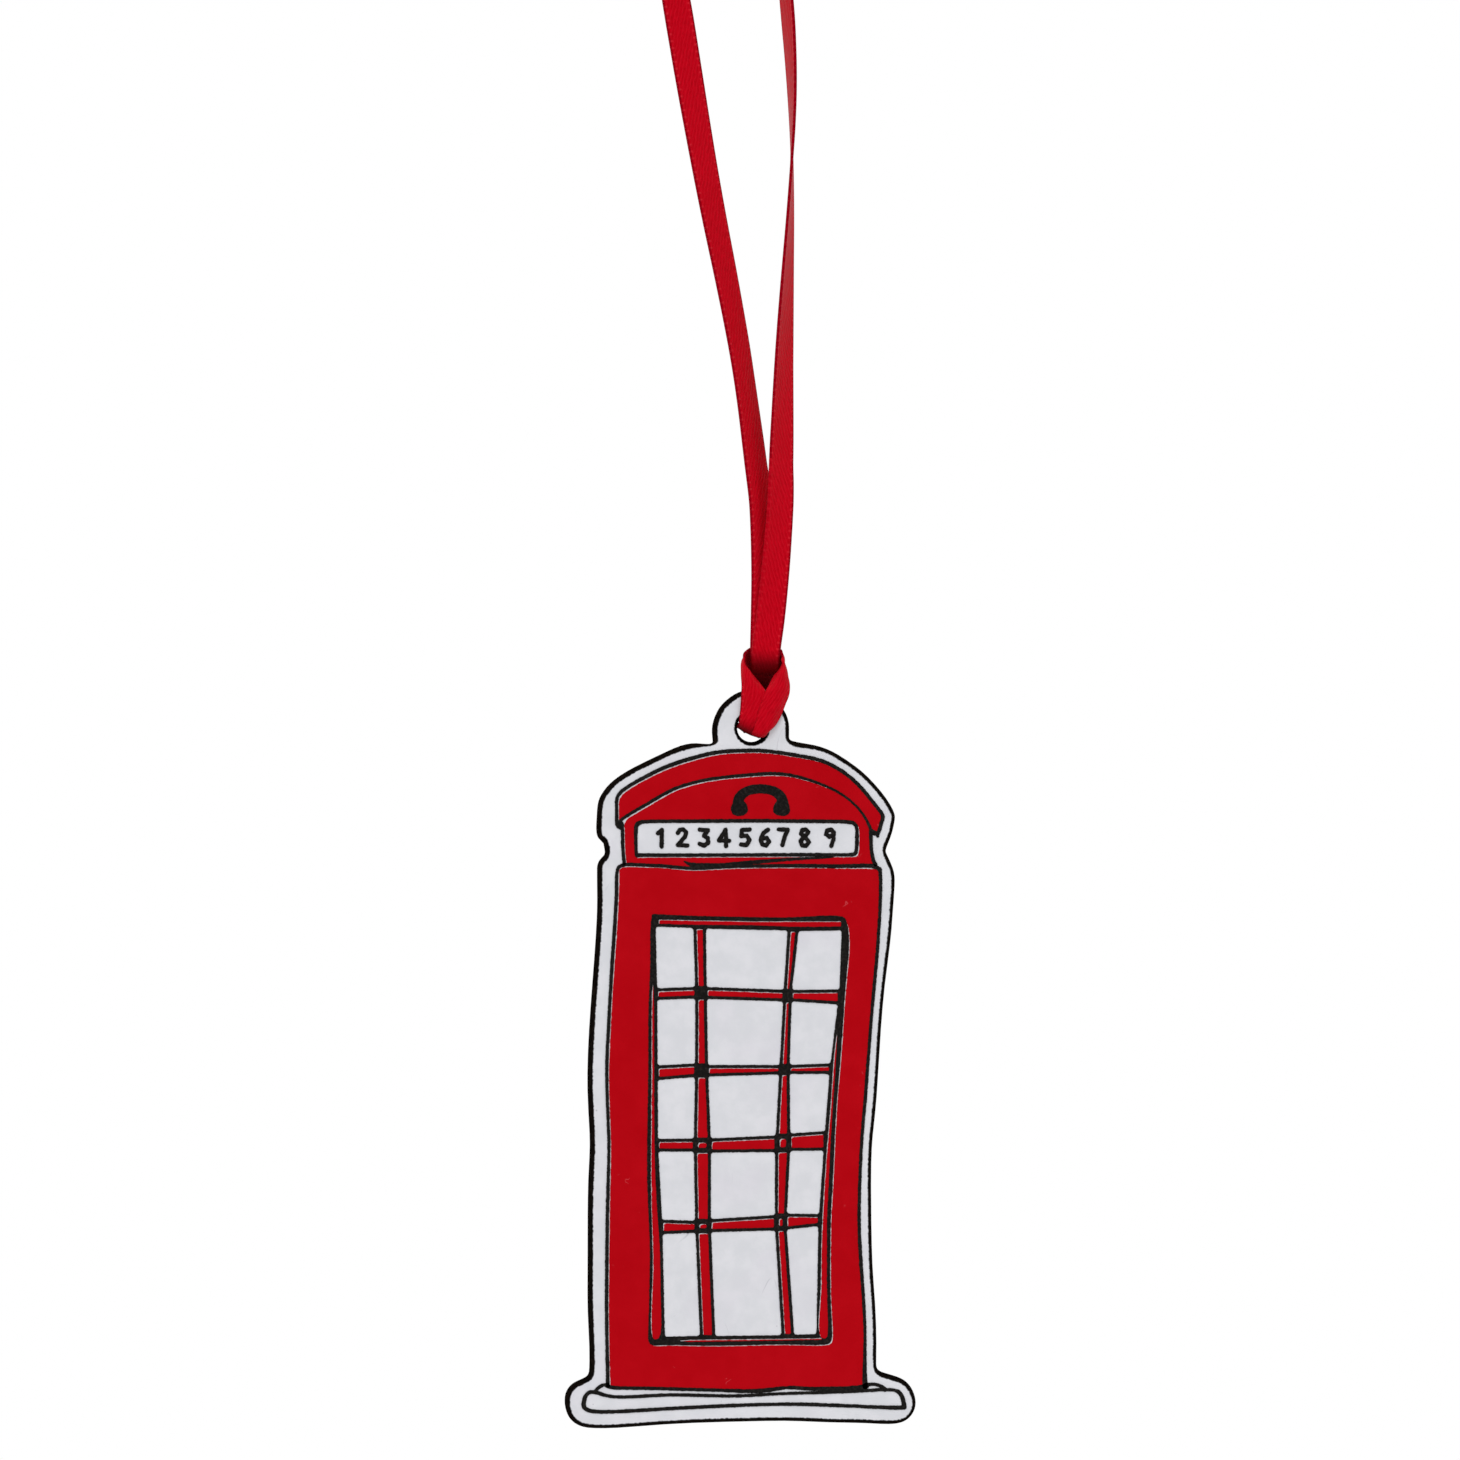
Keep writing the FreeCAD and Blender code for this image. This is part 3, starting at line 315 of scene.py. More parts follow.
def make_ground():
    """The pale printed ground: faint mottling, dust specks, and a scorched rim."""
    nodes = Nodes("white_ground")
    place = nodes.position()
    mottle = nodes.noise(place, 420.0, detail=4.0, roughness=0.6)
    grain = nodes.noise(place, 4200.0, detail=2.0)
    color = nodes.mix(nodes.ramp(mottle, 0.35, 0.7), rgb(213, 214, 219), rgb(221, 221, 226))
    smudge = nodes.noise(place, 95.0, detail=3.0)
    color = nodes.mix(nodes.ramp(smudge, 0.5, 0.75, 0.0, 0.5), color, rgb(214, 210, 219))
    dust = nodes.specks(place, 280.0, 0.14 * MM, 0.2)
    color = nodes.mix(nodes.math("MULTIPLY", dust, 0.5), color, rgb(150, 150, 158))
    grit = nodes.specks(place, 620.0, 0.08 * MM, 0.12)
    color = nodes.mix(nodes.math("MULTIPLY", grit, 0.6), color, rgb(140, 138, 146))
    stretched = nodes.add("VectorMath", settings={"operation": "MULTIPLY"}, i0=place, i1=(1.0, 1.0, 0.35))
    hairs = nodes.math("ABSOLUTE", nodes.math("SUBTRACT", nodes.noise(stretched, 210.0, detail=1.0), 0.5))
    patchy = nodes.ramp(nodes.noise(place, 230.0, detail=1.0), 0.64, 0.72)
    hairs = nodes.math("MULTIPLY", nodes.ramp(hairs, 0.006, 0.001), patchy)
    color = nodes.mix(nodes.math("MULTIPLY", hairs, 0.4), color, rgb(160, 160, 168))
    rim = nodes.add("Attribute", output="Fac", settings={"attribute_name": "rim"})
    scorch = nodes.math("ADD", rim, nodes.math("MULTIPLY", nodes.math("SUBTRACT", grain, 0.5), 0.55))
    color = nodes.mix(nodes.ramp(scorch, 0.6, 0.95), color, rgb(8, 6, 5))
    roughness = nodes.ramp(grain, 0.3, 0.7, 0.48, 0.62)
    return nodes.finish(color, roughness, nodes.bump(grain, 0.006 * MM), specular=0.1)


def make_red_ink():
    nodes = Nodes("red_ink")
    place = nodes.position()
    mottle = nodes.noise(place, 260.0, detail=5.0, roughness=0.62)
    grain = nodes.noise(place, 5200.0, detail=2.0)
    color = nodes.mix(nodes.ramp(mottle, 0.3, 0.75), rgb(173, 4, 15), rgb(180, 7, 19))
    color = nodes.mix(nodes.math("MULTIPLY", nodes.ramp(grain, 0.6, 0.8), 0.35), color, rgb(156, 3, 12))
    dust = nodes.specks(place, 260.0, 0.07 * MM, 0.1)
    color = nodes.mix(nodes.math("MULTIPLY", dust, 0.6), color, rgb(206, 120, 124))
    hairs = nodes.math("ABSOLUTE", nodes.math("SUBTRACT", nodes.noise(place, 900.0, detail=1.0), 0.5))
    patchy = nodes.ramp(nodes.noise(place, 600.0, detail=1.0), 0.7, 0.76)
    hairs = nodes.math("MULTIPLY", nodes.ramp(hairs, 0.025, 0.006), patchy)
    color = nodes.mix(nodes.math("MULTIPLY", hairs, 0.35), color, rgb(214, 96, 104))
    roughness = nodes.ramp(mottle, 0.3, 0.7, 0.42, 0.55)
    nodes.shader.inputs["Specular Tint"].default_value = (1.0, 0.2, 0.25, 1)
    return nodes.finish(color, roughness, nodes.bump(grain, 0.006 * MM), specular=0.08)


def make_black_ink():
    nodes = Nodes("black_ink")
    place = nodes.position()
    grain = nodes.noise(place, 3600.0, detail=3.0, roughness=0.6)
    patches = nodes.noise(place, 900.0, detail=2.0)
    color = nodes.mix(nodes.ramp(grain, 0.42, 0.75), rgb(13, 11, 10), rgb(40, 37, 34))
    color = nodes.mix(nodes.math("MULTIPLY", nodes.ramp(patches, 0.5, 0.75), 0.5), color, rgb(9, 7, 6))
    roughness = nodes.ramp(grain, 0.3, 0.7, 0.5, 0.65)
    return nodes.finish(color, roughness, nodes.bump(grain, 0.008 * MM), specular=0.08)


def make_fibreboard():
    """Raw fibreboard behind, smoked round its edges, and laser-charred side walls."""
    nodes = Nodes("fibreboard")
    place = nodes.position()
    fibre = nodes.noise(place, 2600.0, detail=6.0, roughness=0.7)
    patches = nodes.noise(place, 140.0, detail=3.0)
    raw = nodes.mix(nodes.ramp(fibre, 0.32, 0.68), rgb(128, 94, 62), rgb(176, 140, 100))
    raw = nodes.mix(nodes.math("MULTIPLY", nodes.ramp(patches, 0.4, 0.7), 0.35), raw, rgb(150, 112, 76))
    flecks = nodes.specks(place, 520.0, 0.22 * MM, 0.25)
    raw = nodes.mix(nodes.math("MULTIPLY", flecks, 0.5), raw, rgb(104, 74, 48))
    inside = nodes.tree.nodes.new("ShaderNodeAmbientOcclusion")
    inside.inside = True
    inside.samples = 8
    inside.inputs["Distance"].default_value = 1.1 * MM
    smoke = nodes.ramp(inside.outputs["AO"], 0.95, 0.5)
    raw = nodes.mix(nodes.math("MULTIPLY", smoke, 0.85), raw, rgb(58, 38, 24))
    burnt = nodes.noise(place, 1900.0, detail=3.0)
    char = nodes.mix(nodes.ramp(burnt, 0.4, 0.75), rgb(9, 7, 6), rgb(32, 25, 20))
    facing = nodes.add("SeparateXYZ", output="Y", Vector=nodes.add("TexCoord", output="Normal"))
    back = nodes.ramp(facing, 0.7, 0.95)
    color = nodes.mix(back, char, raw)
    roughness = nodes.ramp(back, 0.0, 1.0, 0.62, 0.85)
    return nodes.finish(color, roughness, nodes.bump(fibre, 0.05 * MM, 0.7), specular=0.0)


satin = make_satin()
ground_paint = make_ground()
red_paint = make_red_ink()
black_paint = make_black_ink()
fibreboard = make_fibreboard()


# ---------------------------------------------------------------------------------------------------
# Ribbon geometry
# ---------------------------------------------------------------------------------------------------
RIBBON_COLUMNS = 13         # points across a plain stretch of ribbon
EDGE_SWELL = 0.3            # how much thicker the ribbon is at its woven edges
EDGE_REACH = 0.12           # and over what share of its half width
WALL_PLACE = 1.02           # where the side walls lie across the ribbon, with 1 for its edges
CURL_LEVEL = 0.4            # the curl's height is counted from here, so the strip stays on its line


def from_hole(across, depth, up):
    return HOLE + Vector((across, depth, up)) * MM


def catmull_rom(rows, steps):
    """Rows of points, smoothly filled in between: the curve passes through each row."""
    rows = np.asarray(rows, float)
    padded = np.concatenate([[2 * rows[0] - rows[1]], rows, [2 * rows[-1] - rows[-2]]])
    curve = []
    for index in range(1, len(padded) - 2):
        before, start, end, after = padded[index - 1:index + 3]
        for step in range(steps):
            share = step / steps
            curve.append(0.5 * (2 * start + (end - before) * share
                                + (2 * before - 5 * start + 4 * end - after) * share ** 2
                                + (3 * start - before - 3 * end + after) * share ** 3))
    curve.append(rows[-1])
    return np.array(curve)


def unit(vectors):
    return vectors / np.maximum(np.linalg.norm(vectors, axis=-1, keepdims=True), 1e-12)


def ribbon_solid(name, grid, fold_shade=0.0, edging=(1.0, 1.0), direction=1.0):
    """A closed ribbon round a fine grid of points (stations, across, 3), with thick woven edges.

    fold, one number or one for each station, is painted shade that darkens the ribbon where it is tucked
    away; edging says how strongly its first and last edges get their painted edge shade and their edge
    loops; direction turns the slant of the weave over.
    """
    stations, columns = grid.shape[:2]
    lengthwise = unit(np.gradient(grid, axis=0))
    crosswise = unit(np.gradient(grid, axis=1))
    normals = unit(np.cross(lengthwise, crosswise))
    share = np.linspace(-1, 1, columns)
    half = RIBBON_THICKNESS / 2 * (1 + EDGE_SWELL * np.exp(-((1 - np.abs(share)) / EDGE_REACH) ** 2))
    front = grid + normals * half[None, :, None]
    behind = grid - normals * half[None, :, None]
    left = grid[:, 0] - crosswise[:, 0] * half[0]
    right = grid[:, -1] + crosswise[:, -1] * half[-1]
    section = np.concatenate([front, right[:, None], behind[:, ::-1], left[:, None]], axis=1)
    middle = grid[:, columns // 2]
    run = np.concatenate([[0], np.cumsum(np.linalg.norm(np.diff(middle, axis=0), axis=1))]) * direction
    half_width = RIBBON_WIDTH / 2 / MM
    across_mm = np.concatenate([share, [WALL_PLACE], share[::-1], [-WALL_PLACE]]) * half_width
    count = section.shape[1]
    weave = np.zeros((stations, count, 3))
    weave[:, :, 0] = across_mm[None]
    weave[:, :, 1] = run[:, None] / MM
    edges = np.interp(across_mm, [-half_width, half_width], edging)[None].repeat(stations, axis=0)
    fold_shades = np.broadcast_to(np.asarray(fold_shade, float).reshape(-1, 1), (stations, count))
    faces = []
    for station in range(stations - 1):
        low, high = station * count, (station + 1) * count
        for index in range(count):
            after = (index + 1) % count
            faces.append((low + index, high + index, high + after, low + after))
    for base, flip in ((stations * count, False), ((stations + 1) * count, True)):
        for index in range(columns - 1):
            opposite = 2 * columns - index
            face = [base + index, base + index + 1, base + opposite - 1, base + opposite]
            faces.append(tuple(face[::-1] if flip else face))
        for tip, first, second in ((columns, columns - 1, columns + 1), (count - 1, count - 2, 0)):
            face = [base + first, base + tip, base + second]
            faces.append(tuple(face[::-1] if flip else face))
    section, weave, edges, fold_shades = (np.concatenate([values, values[:1], values[-1:]])
                                    for values in (section, weave, edges, fold_shades))
    data = bpy.data.meshes.new(name)
    data.from_pydata(section.reshape(-1, 3).tolist(), [], faces)
    data.attributes.new("weave", "FLOAT_VECTOR", "POINT").data.foreach_set("vector", weave.ravel())
    data.attributes.new("edging", "FLOAT", "POINT").data.foreach_set("value", edges.ravel())
    data.attributes.new("fold_shade", "FLOAT", "POINT").data.foreach_set("value", fold_shades.ravel())
    data.polygons.foreach_set("use_smooth", [True] * len(data.polygons))
    data.materials.append(satin)
    data.validate()
    data.update()
    piece = bpy.data.objects.new(name, data)
    bpy.context.scene.collection.objects.link(piece)
    return piece


def strip_grid(centres, acrosses, curl, width=RIBBON_WIDTH):
    """The grid of a ribbon of even width along centres, its broad side along acrosses.

    curl, one number or one for each centre, is how far its edges bend out of the flat.
    """
    centres, acrosses = np.asarray(centres, float), np.asarray(acrosses, float)
    forward = unit(np.gradient(centres, axis=0))
    acrosses = unit(acrosses - forward * np.sum(acrosses * forward, axis=1, keepdims=True))
    normals = np.cross(forward, acrosses)
    share = np.linspace(-1, 1, RIBBON_COLUMNS)
    curl = np.broadcast_to(np.asarray(curl, float), (len(centres),))
    flat = acrosses[:, None] * share[None, :, None] * width / 2
    bend = (share ** 2 - CURL_LEVEL)[None, :, None] * curl[:, None, None]
    return centres[:, None] + flat + normals[:, None] * bend


def nurbs_line(name, points):
    """The smooth line of a NURBS spline with these control points, as points along it."""
    data = bpy.data.curves.new(name, "CURVE")
    data.dimensions = "3D"
    data.resolution_u = 24
    spline = data.splines.new("NURBS")
    spline.points.add(len(points) - 1)
    for point, place in zip(spline.points, points):
        point.co = (*place, 1.0)
    spline.order_u = 3
    spline.use_endpoint_u = True
    curve = bpy.data.objects.new(name, data)
    line = bpy.data.meshes.new_from_object(curve)
    places = np.array([vertex.co for vertex in line.vertices], float)
    bpy.data.meshes.remove(line)
    bpy.data.objects.remove(curve)
    return places


def even_steps(places, step):
    """A line's points again, at even distances."""
    run = np.concatenate([[0], np.cumsum(np.linalg.norm(np.diff(places, axis=0), axis=1))])
    count = max(int(round(run[-1] / step)), 2)
    at = np.linspace(0, run[-1], count + 1)
    return np.stack([np.interp(at, run, places[:, axis]) for axis in range(3)], axis=1)


# ---------------------------------------------------------------------------------------------------
# The two legs of the loop: free cords from the neck to the knot over the peg
# ---------------------------------------------------------------------------------------------------
# (across, depth, up) from the hole's centre, in metres: the tubes' routes, then over the peg.
LEG_LEFT = [
    (0.00045, 0.00025, 0.0308), (-0.0007, 0.0002, 0.0398), (-0.0024, 0.00015, 0.0493),
    (-0.0047, 0.0001, 0.0605), (-0.00675, 0.00005, 0.072), (-0.0086, 0.0, 0.0832),
    (-0.01005, 0.0, 0.0915), (-0.01005, 0.0, 0.1022), (-0.0062, 0.0, 0.10605), (-0.0035, 0.0, 0.10605),
]
LEG_RIGHT = [
    (0.00335, -0.0003, 0.0308), (0.0036, -0.00025, 0.0405), (0.004, -0.0002, 0.0505),
    (0.0045, -0.00015, 0.061), (0.0047, -0.0001, 0.072), (0.00405, -0.00005, 0.083),
    (0.00305, 0.0, 0.0915), (0.00305, 0.0, 0.1022), (-0.0008, 0.0, 0.10605), (-0.0035, 0.0, 0.10605),
]
# How far the ribbon has turned about its own line, in degrees, at heights in metres over the hole.
# 0 shows its full width to the front, 90 stands it edge-on.
TURN_LEFT = [(0.0306, 36), (0.038, 43), (0.046, 39), (0.056, 32), (0.066, 25), (0.075, 14),
             (0.083, 6), (0.088, 30), (0.0955, 78), (0.1, 90)]
TURN_RIGHT = [(0.0306, -151), (0.0375, -139), (0.0455, -126), (0.0535, -112), (0.0615, -99),
              (0.0666, -90), (0.0718, -78), (0.0775, -70), (0.0832, -64), (0.091, -78), (0.1, -90)]
LEG_STEP = 0.3 * MM
TURN_WINDOW = 25            # points over which the table of turns is evened out


def turned_across(places, turns):
    """The broad side's direction along a leg, from its table of turns."""
    forward = unit(np.gradient(places, axis=0))
    sideways = unit(np.cross(np.array([0.0, 1.0, 0.0]), forward))
    depthwise = np.cross(forward, sideways)
    heights, angles = zip(*turns)
    angle = np.radians(np.interp(places[:, 2] - HOLE.z, heights, angles))
    padded = np.pad(angle, TURN_WINDOW // 2, mode="edge")
    smooth = np.convolve(padded, np.ones(TURN_WINDOW) / TURN_WINDOW, mode="valid")
    return sideways * np.cos(smooth)[:, None] + depthwise * np.sin(smooth)[:, None]


def make_leg(name, route, turns):
    line = nurbs_line(name, [HOLE + Vector(point) for point in route])
    line = even_steps(line, LEG_STEP)
    acrosses = turned_across(line, turns)
    piece = ribbon_solid(name, strip_grid(line, acrosses, curl=0.07 * MM), direction=-1.0)
    return piece, line, acrosses


leg_left, line_left, across_left = make_leg("ribbon_leg_left", LEG_LEFT, TURN_LEFT)
leg_right, line_right, across_right = make_leg("ribbon_leg_right", LEG_RIGHT, TURN_RIGHT)
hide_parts("leg_left", "loop_bight")
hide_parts("leg_right", "loop_bight")


# ---------------------------------------------------------------------------------------------------
# The knot on top of the loop and its two cut tails
# ---------------------------------------------------------------------------------------------------
KNOT = from_hole(-3.5, 0.0, 107.75)
TAIL_LEFT = [
    (-3.6, 0.0, 107.9), (-4.2, -0.2, 109.6), (-4.9, -0.5, 112.3), (-5.9, -1.0, 115.0), (-6.3, -1.2, 116.5),
]
TAIL_RIGHT = [
    (-3.4, 0.0, 107.9), (-2.8, 0.2, 109.4), (-2.1, 0.5, 112.1), (-1.3, 0.95, 114.4), (-0.9, 1.2, 115.8),
]


def make_knot():
    """An overhand knot pulled tight: one ribbon wound a turn and a half round the other."""
    turns, first_angle, stations, columns = 1.55, -0.75, 120, 11
    radius, belly, broader, rise = 1.32 * MM, 0.16, 1.18, 1.15 * MM
    start_share, start_tuck, end_share, end_tuck = 0.16, 0.5 * MM, 0.14, 0.6 * MM
    tilt, tilt_angle = 0.33 * MM, 0.6
    half_band, barrel = 1.0496 * MM, 0.5 * MM
    grid = []
    for index in range(stations + 1):
        share = index / stations
        angle = 2 * math.pi * turns * share + first_angle
        reach = radius * (1.0 + belly * math.sin(math.pi * share))
        reach -= start_tuck * max(0.0, start_share - share) / start_share
        reach -= end_tuck * max(0.0, share - (1 - end_share)) / end_share
        height = rise * (share - 0.5) + tilt * math.sin(angle + tilt_angle)
        centre = Vector((broader * reach * math.cos(angle), reach * math.sin(angle), height))
        out = Vector((math.cos(angle), math.sin(angle), 0.0))
        row = []
        for place in np.linspace(-1, 1, columns).tolist():
            row.append(KNOT + centre - out * barrel * place ** 2 + Vector((0, 0, half_band * place)))
        grid.append(row)
    piece = ribbon_solid("ribbon_knot", np.array(grid, float))
    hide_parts("loop_knot")
    return piece


def make_core():
    """What shows of the ribbons that pass through the knot: one strip, gathered narrow."""
    points = [(-3.5, 0.0, 105.9), (-3.55, 0.05, 106.8), (-3.45, 0.0, 107.8), (-3.5, 0.0, 109.3)]
    line = catmull_rom([from_hole(*point) for point in points], 10)
    acrosses = np.tile([0.75, 0.66, 0.0], (len(line), 1))
    return ribbon_solid("ribbon_knot_core", strip_grid(line, acrosses, curl=0.5 * MM, width=1.9 * MM))


def make_tail(name, points, last_twist, slant, node):
    """A tail with a slanting cut end, which widens as it leaves the knot; the twists are in radians."""
    first_twist, cut_points, cut_depth = 0.5, 8, 0.7 * MM
    line = catmull_rom([from_hole(*point) for point in points], 10)
    twist = np.linspace(first_twist, last_twist, len(line))
    acrosses = np.stack([np.cos(twist), np.sin(twist), np.zeros(len(line))], axis=1)
    narrow = np.clip(np.linspace(0.45, 2.2, len(line)), 0.45, 1.0)
    grid = strip_grid(line, acrosses, curl=0.35 * MM)
    grid = line[:, None] + (grid - line[:, None]) * narrow[:, None, None]
    share = np.linspace(-1, 1, grid.shape[1])
    forward = unit(np.gradient(line, axis=0))
    fade = np.clip((np.arange(len(line)) - len(line) + cut_points + 1) / cut_points, 0, 1)
    grid += forward[:, None] * (share[None, :, None] * slant - 1) * fade[:, None, None] * cut_depth
    piece = ribbon_solid(name, grid)
    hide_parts(node)
    return piece


knot = make_knot()
knot_core = make_core()
tail_left = make_tail("ribbon_tail_left", TAIL_LEFT, -0.25, 1.0, "tail_left")
tail_right = make_tail("ribbon_tail_right", TAIL_RIGHT, 0.85, -1.0, "tail_right")
for piece in (knot, knot_core, tail_left, tail_right):
    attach(piece, "ribbon_loop")

for piece, line, extras in ((leg_left, line_left, [knot, knot_core, tail_left]),
                            (leg_right, line_right, [tail_right])):
    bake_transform(piece)


# ---------------------------------------------------------------------------------------------------
# The neck: both ribbons run down together, dive through the hitch and go behind the tab to the hole
# ---------------------------------------------------------------------------------------------------
NECK_BACK = [
    (1.1, 0.3, 26.0), (1.4, 0.3, 21.5), (1.55, 0.3, 17.0), (1.55, 0.2, 12.5), (1.5, 0.05, 9.6),
    (1.5, 0.0, 8.4), (1.5, 0.1, 7.2), (1.45, 0.45, 6.1), (1.3, 1.05, 5.2), (1.1, 1.72, 4.35),
    (0.8, 1.8, 3.0), (0.4, 1.8, 1.5), (0.2, 1.7, 0.4), (0.1, 1.2, -0.25), (0.1, 0.3, -0.45),
]
NECK_FRONT = [
    (3.27, -0.25, 26.0), (2.98, -0.2, 21.5), (2.6, -0.15, 17.0), (2.12, -0.2, 12.5), (1.72, -0.32, 9.6),
    (1.62, -0.38, 8.4), (1.58, -0.3, 7.3), (1.55, 0.1, 6.4), (1.5, 0.9, 5.7), (1.45, 1.85, 5.0),
    (1.3, 2.15, 3.6), (1.1, 2.12, 2.0), (0.9, 2.05, 0.8), (0.8, 1.5, 0.15), (0.7, 0.5, -0.1),
]
# How far each strand has turned, as above, at heights in millimetres over the hole.
NECK_TURN_BACK = [(9.0, 4), (12.0, 10), (17.0, 20), (22.0, 28), (26.0, 33), (30.8, 36)]
NECK_TURN_FRONT = [(9.0, -181), (12.0, -178), (17.0, -170), (22.0, -162), (26.0, -157), (30.8, -151)]
LEG_FOOT = 30.8             # where the legs end and the neck begins
TAKE_OVER = 2.5             # over how many millimetres the neck's own turns take over from the leg's
LEAD = 0.8 * MM             # the strand's first points run along the leg's last stretch


def make_neck_strand(name, points, turns, leg_line, leg_across, edging, nodes):
    """Starts with the leg's own last section, so that the ribbon runs on without a step."""
    tangent = unit(leg_line[0] - leg_line[4])
    start = leg_line[0]
    lead = [start - tangent * LEAD, start, start + tangent * LEAD]
    rows = lead + [np.array(from_hole(*point)) for point in points]
    steps = 12
    line = catmull_rom(rows, steps)[steps:]
    heights, angles = zip(*turns)
    up = (line[:, 2] - HOLE.z) / MM
    angle = np.radians(np.interp(up, heights, angles))
    acrosses = np.stack([np.cos(angle), np.sin(angle), np.zeros(len(line))], axis=1)
    own = np.clip((LEG_FOOT - up) / TAKE_OVER, 0, 1)[:, None]
    acrosses = unit(leg_across[0][None] * (1 - own) + acrosses * own)
    curl = np.interp(up, [5.0, 8.0, LEG_FOOT], [0.0, 0.12, 0.07]) * MM
    width = np.interp(up, [-0.5, 0.8, 3.0, 6.0], [0.62, 0.72, 0.95, 1.0])
    grid = strip_grid(line, acrosses, curl=-curl)
    grid = line[:, None] + (grid - line[:, None]) * width[:, None, None]
    # Painted shade, darkest from about 5 to 7 mm up, where the strand dives into the hitch and behind the
    # tab.
    fold_shade = np.interp(up, [3.0, 5.0, 7.2, 9.0], [0.3, 0.95, 0.85, 0.0])
    piece = ribbon_solid(name, grid, fold_shade=fold_shade, edging=edging)
    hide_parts(*nodes)
    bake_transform(piece)


make_neck_strand("ribbon_neck_back", NECK_BACK, NECK_TURN_BACK, line_left, across_left,
                 (1.0, 1.0), ["neck_back_strand", "hitch_back_strands"])
# The front strand gets less painted edge shade and fainter edge loops on the edge that lies over the back
# strand.
make_neck_strand("ribbon_neck_front", NECK_FRONT, NECK_TURN_FRONT, line_right, across_right,
                 (1.0, 0.3), ["neck_front_strand", "hitch_back_strands"])


# ---------------------------------------------------------------------------------------------------
# The hitch: one ribbon comes forward out of the hole, rises in front of the tab, wraps round behind the
# neck and goes down into the hole again. Each row runs from its outer edge to its inner edge.
# ---------------------------------------------------------------------------------------------------
HITCH_ROWS = [
    [(-1.3, 1.3, 0.5), (-0.7, 1.3, -0.1), (0.0, 1.3, -0.5), (0.6, 1.3, -0.7)],
    [(-1.5, 0.0, 0.4), (-0.8, 0.0, -0.25), (0.0, 0.0, -0.65), (0.7, 0.0, -0.9)],
    [(-1.6, -1.2, 0.15), (-0.85, -1.25, -0.35), (0.0, -1.3, -0.75), (0.9, -1.3, -1.0)],
    [(-1.45, -1.75, 0.4), (-0.75, -1.95, -0.05), (0.05, -2.0, -0.35), (1.0, -2.05, -0.55)],
    [(-1.33, -1.8, 1.25), (-0.65, -2.1, 0.9), (0.25, -2.2, 0.7), (1.2, -2.2, 0.65)],
    [(-1.2, -1.8, 2.4), (-0.45, -2.15, 2.1), (0.55, -2.3, 2.0), (1.5, -2.25, 2.0)],
    [(-1.12, -1.8, 3.6), (-0.35, -2.2, 3.5), (0.65, -2.35, 3.4), (1.6, -2.3, 3.4)],
    [(-1.1, -1.75, 4.8), (-0.45, -2.15, 4.7), (0.4, -2.3, 4.55), (1.35, -2.15, 4.3)],
    [(-1.18, -1.6, 6.0), (-0.75, -2.0, 5.9), (-0.05, -2.0, 5.7), (0.55, -1.55, 5.3)],
    [(-1.13, -1.2, 7.1), (-0.95, -1.65, 7.0), (-0.5, -1.6, 6.7), (-0.05, -1.05, 6.05)],
    [(-0.95, -0.5, 8.05), (-0.95, -0.8, 7.6), (-0.75, -0.7, 7.0), (-0.4, -0.3, 6.25)],
    [(-0.5, 0.4, 8.85), (-0.7, 0.4, 8.15), (-0.65, 0.5, 7.2), (-0.35, 0.6, 6.4)],
    [(0.4, 1.0, 9.15), (0.35, 1.2, 8.5), (0.35, 1.35, 7.5), (0.45, 1.3, 6.5)],
    [(1.5, 1.2, 9.2), (1.5, 1.42, 8.55), (1.5, 1.55, 7.5), (1.5, 1.5, 6.6)],
    [(2.6, 1.0, 9.15), (2.7, 1.2, 8.5), (2.7, 1.35, 7.5), (2.6, 1.3, 6.6)],
    [(3.25, 0.4, 8.95), (3.5, 0.35, 8.25), (3.45, 0.5, 7.2), (3.2, 0.6, 6.4)],
    [(3.4, -0.4, 8.55), (3.6, -0.65, 7.9), (3.45, -0.65, 7.1), (3.0, -0.25, 6.2)],
    [(3.62, -1.1, 7.5), (3.62, -1.5, 7.05), (3.25, -1.6, 6.6), (2.7, -1.15, 6.05)],
    [(3.95, -1.45, 6.2), (3.6, -1.9, 6.05), (2.95, -2.1, 5.75), (2.3, -1.65, 5.35)],
    [(4.2, -1.6, 5.1), (3.6, -2.1, 4.9), (2.7, -2.4, 4.6), (1.7, -2.3, 4.35)],
    [(4.15, -1.65, 4.0), (3.4, -2.2, 3.8), (2.4, -2.5, 3.6), (1.35, -2.5, 3.4)],
    [(3.8, -1.7, 2.9), (3.0, -2.25, 2.6), (2.0, -2.55, 2.4), (0.95, -2.5, 2.3)],
    [(3.42, -1.75, 1.9), (2.6, -2.25, 1.5), (1.65, -2.5, 1.3), (0.65, -2.45, 1.2)],
    [(2.9, -1.8, 0.9), (2.2, -2.2, 0.4), (1.35, -2.4, 0.15), (0.4, -2.35, 0.2)],
    [(2.15, -1.8, 0.0), (1.8, -2.1, -0.4), (1.1, -2.25, -0.6), (0.2, -2.2, -0.4)],
    [(1.55, -1.35, -0.5), (1.3, -1.5, -0.9), (0.8, -1.6, -1.0), (0.0, -1.5, -0.65)],
    [(1.35, 0.0, -0.35), (1.0, 0.0, -0.6), (0.5, 0.0, -0.55), (-0.1, 0.0, -0.3)],
    [(1.1, 1.3, -0.1), (0.8, 1.3, -0.35), (0.35, 1.3, -0.35), (-0.2, 1.3, -0.1)],
]
# (row, how much painted shade darkens the ribbon there): in the hole and round behind the neck.
HITCH_FOLD_SHADES = [
    (0, 1), (2, 0.95), (3, 0.8), (3.5, 0.4), (4, 0.12), (4.5, 0), (9, 0), (10, 0.1), (11, 0.3), (12, 0.65),
    (14, 0.65), (15, 0.35), (16, 0.1), (17, 0), (23, 0), (24, 0.1), (25, 0.6), (26, 1), (27, 1),
]


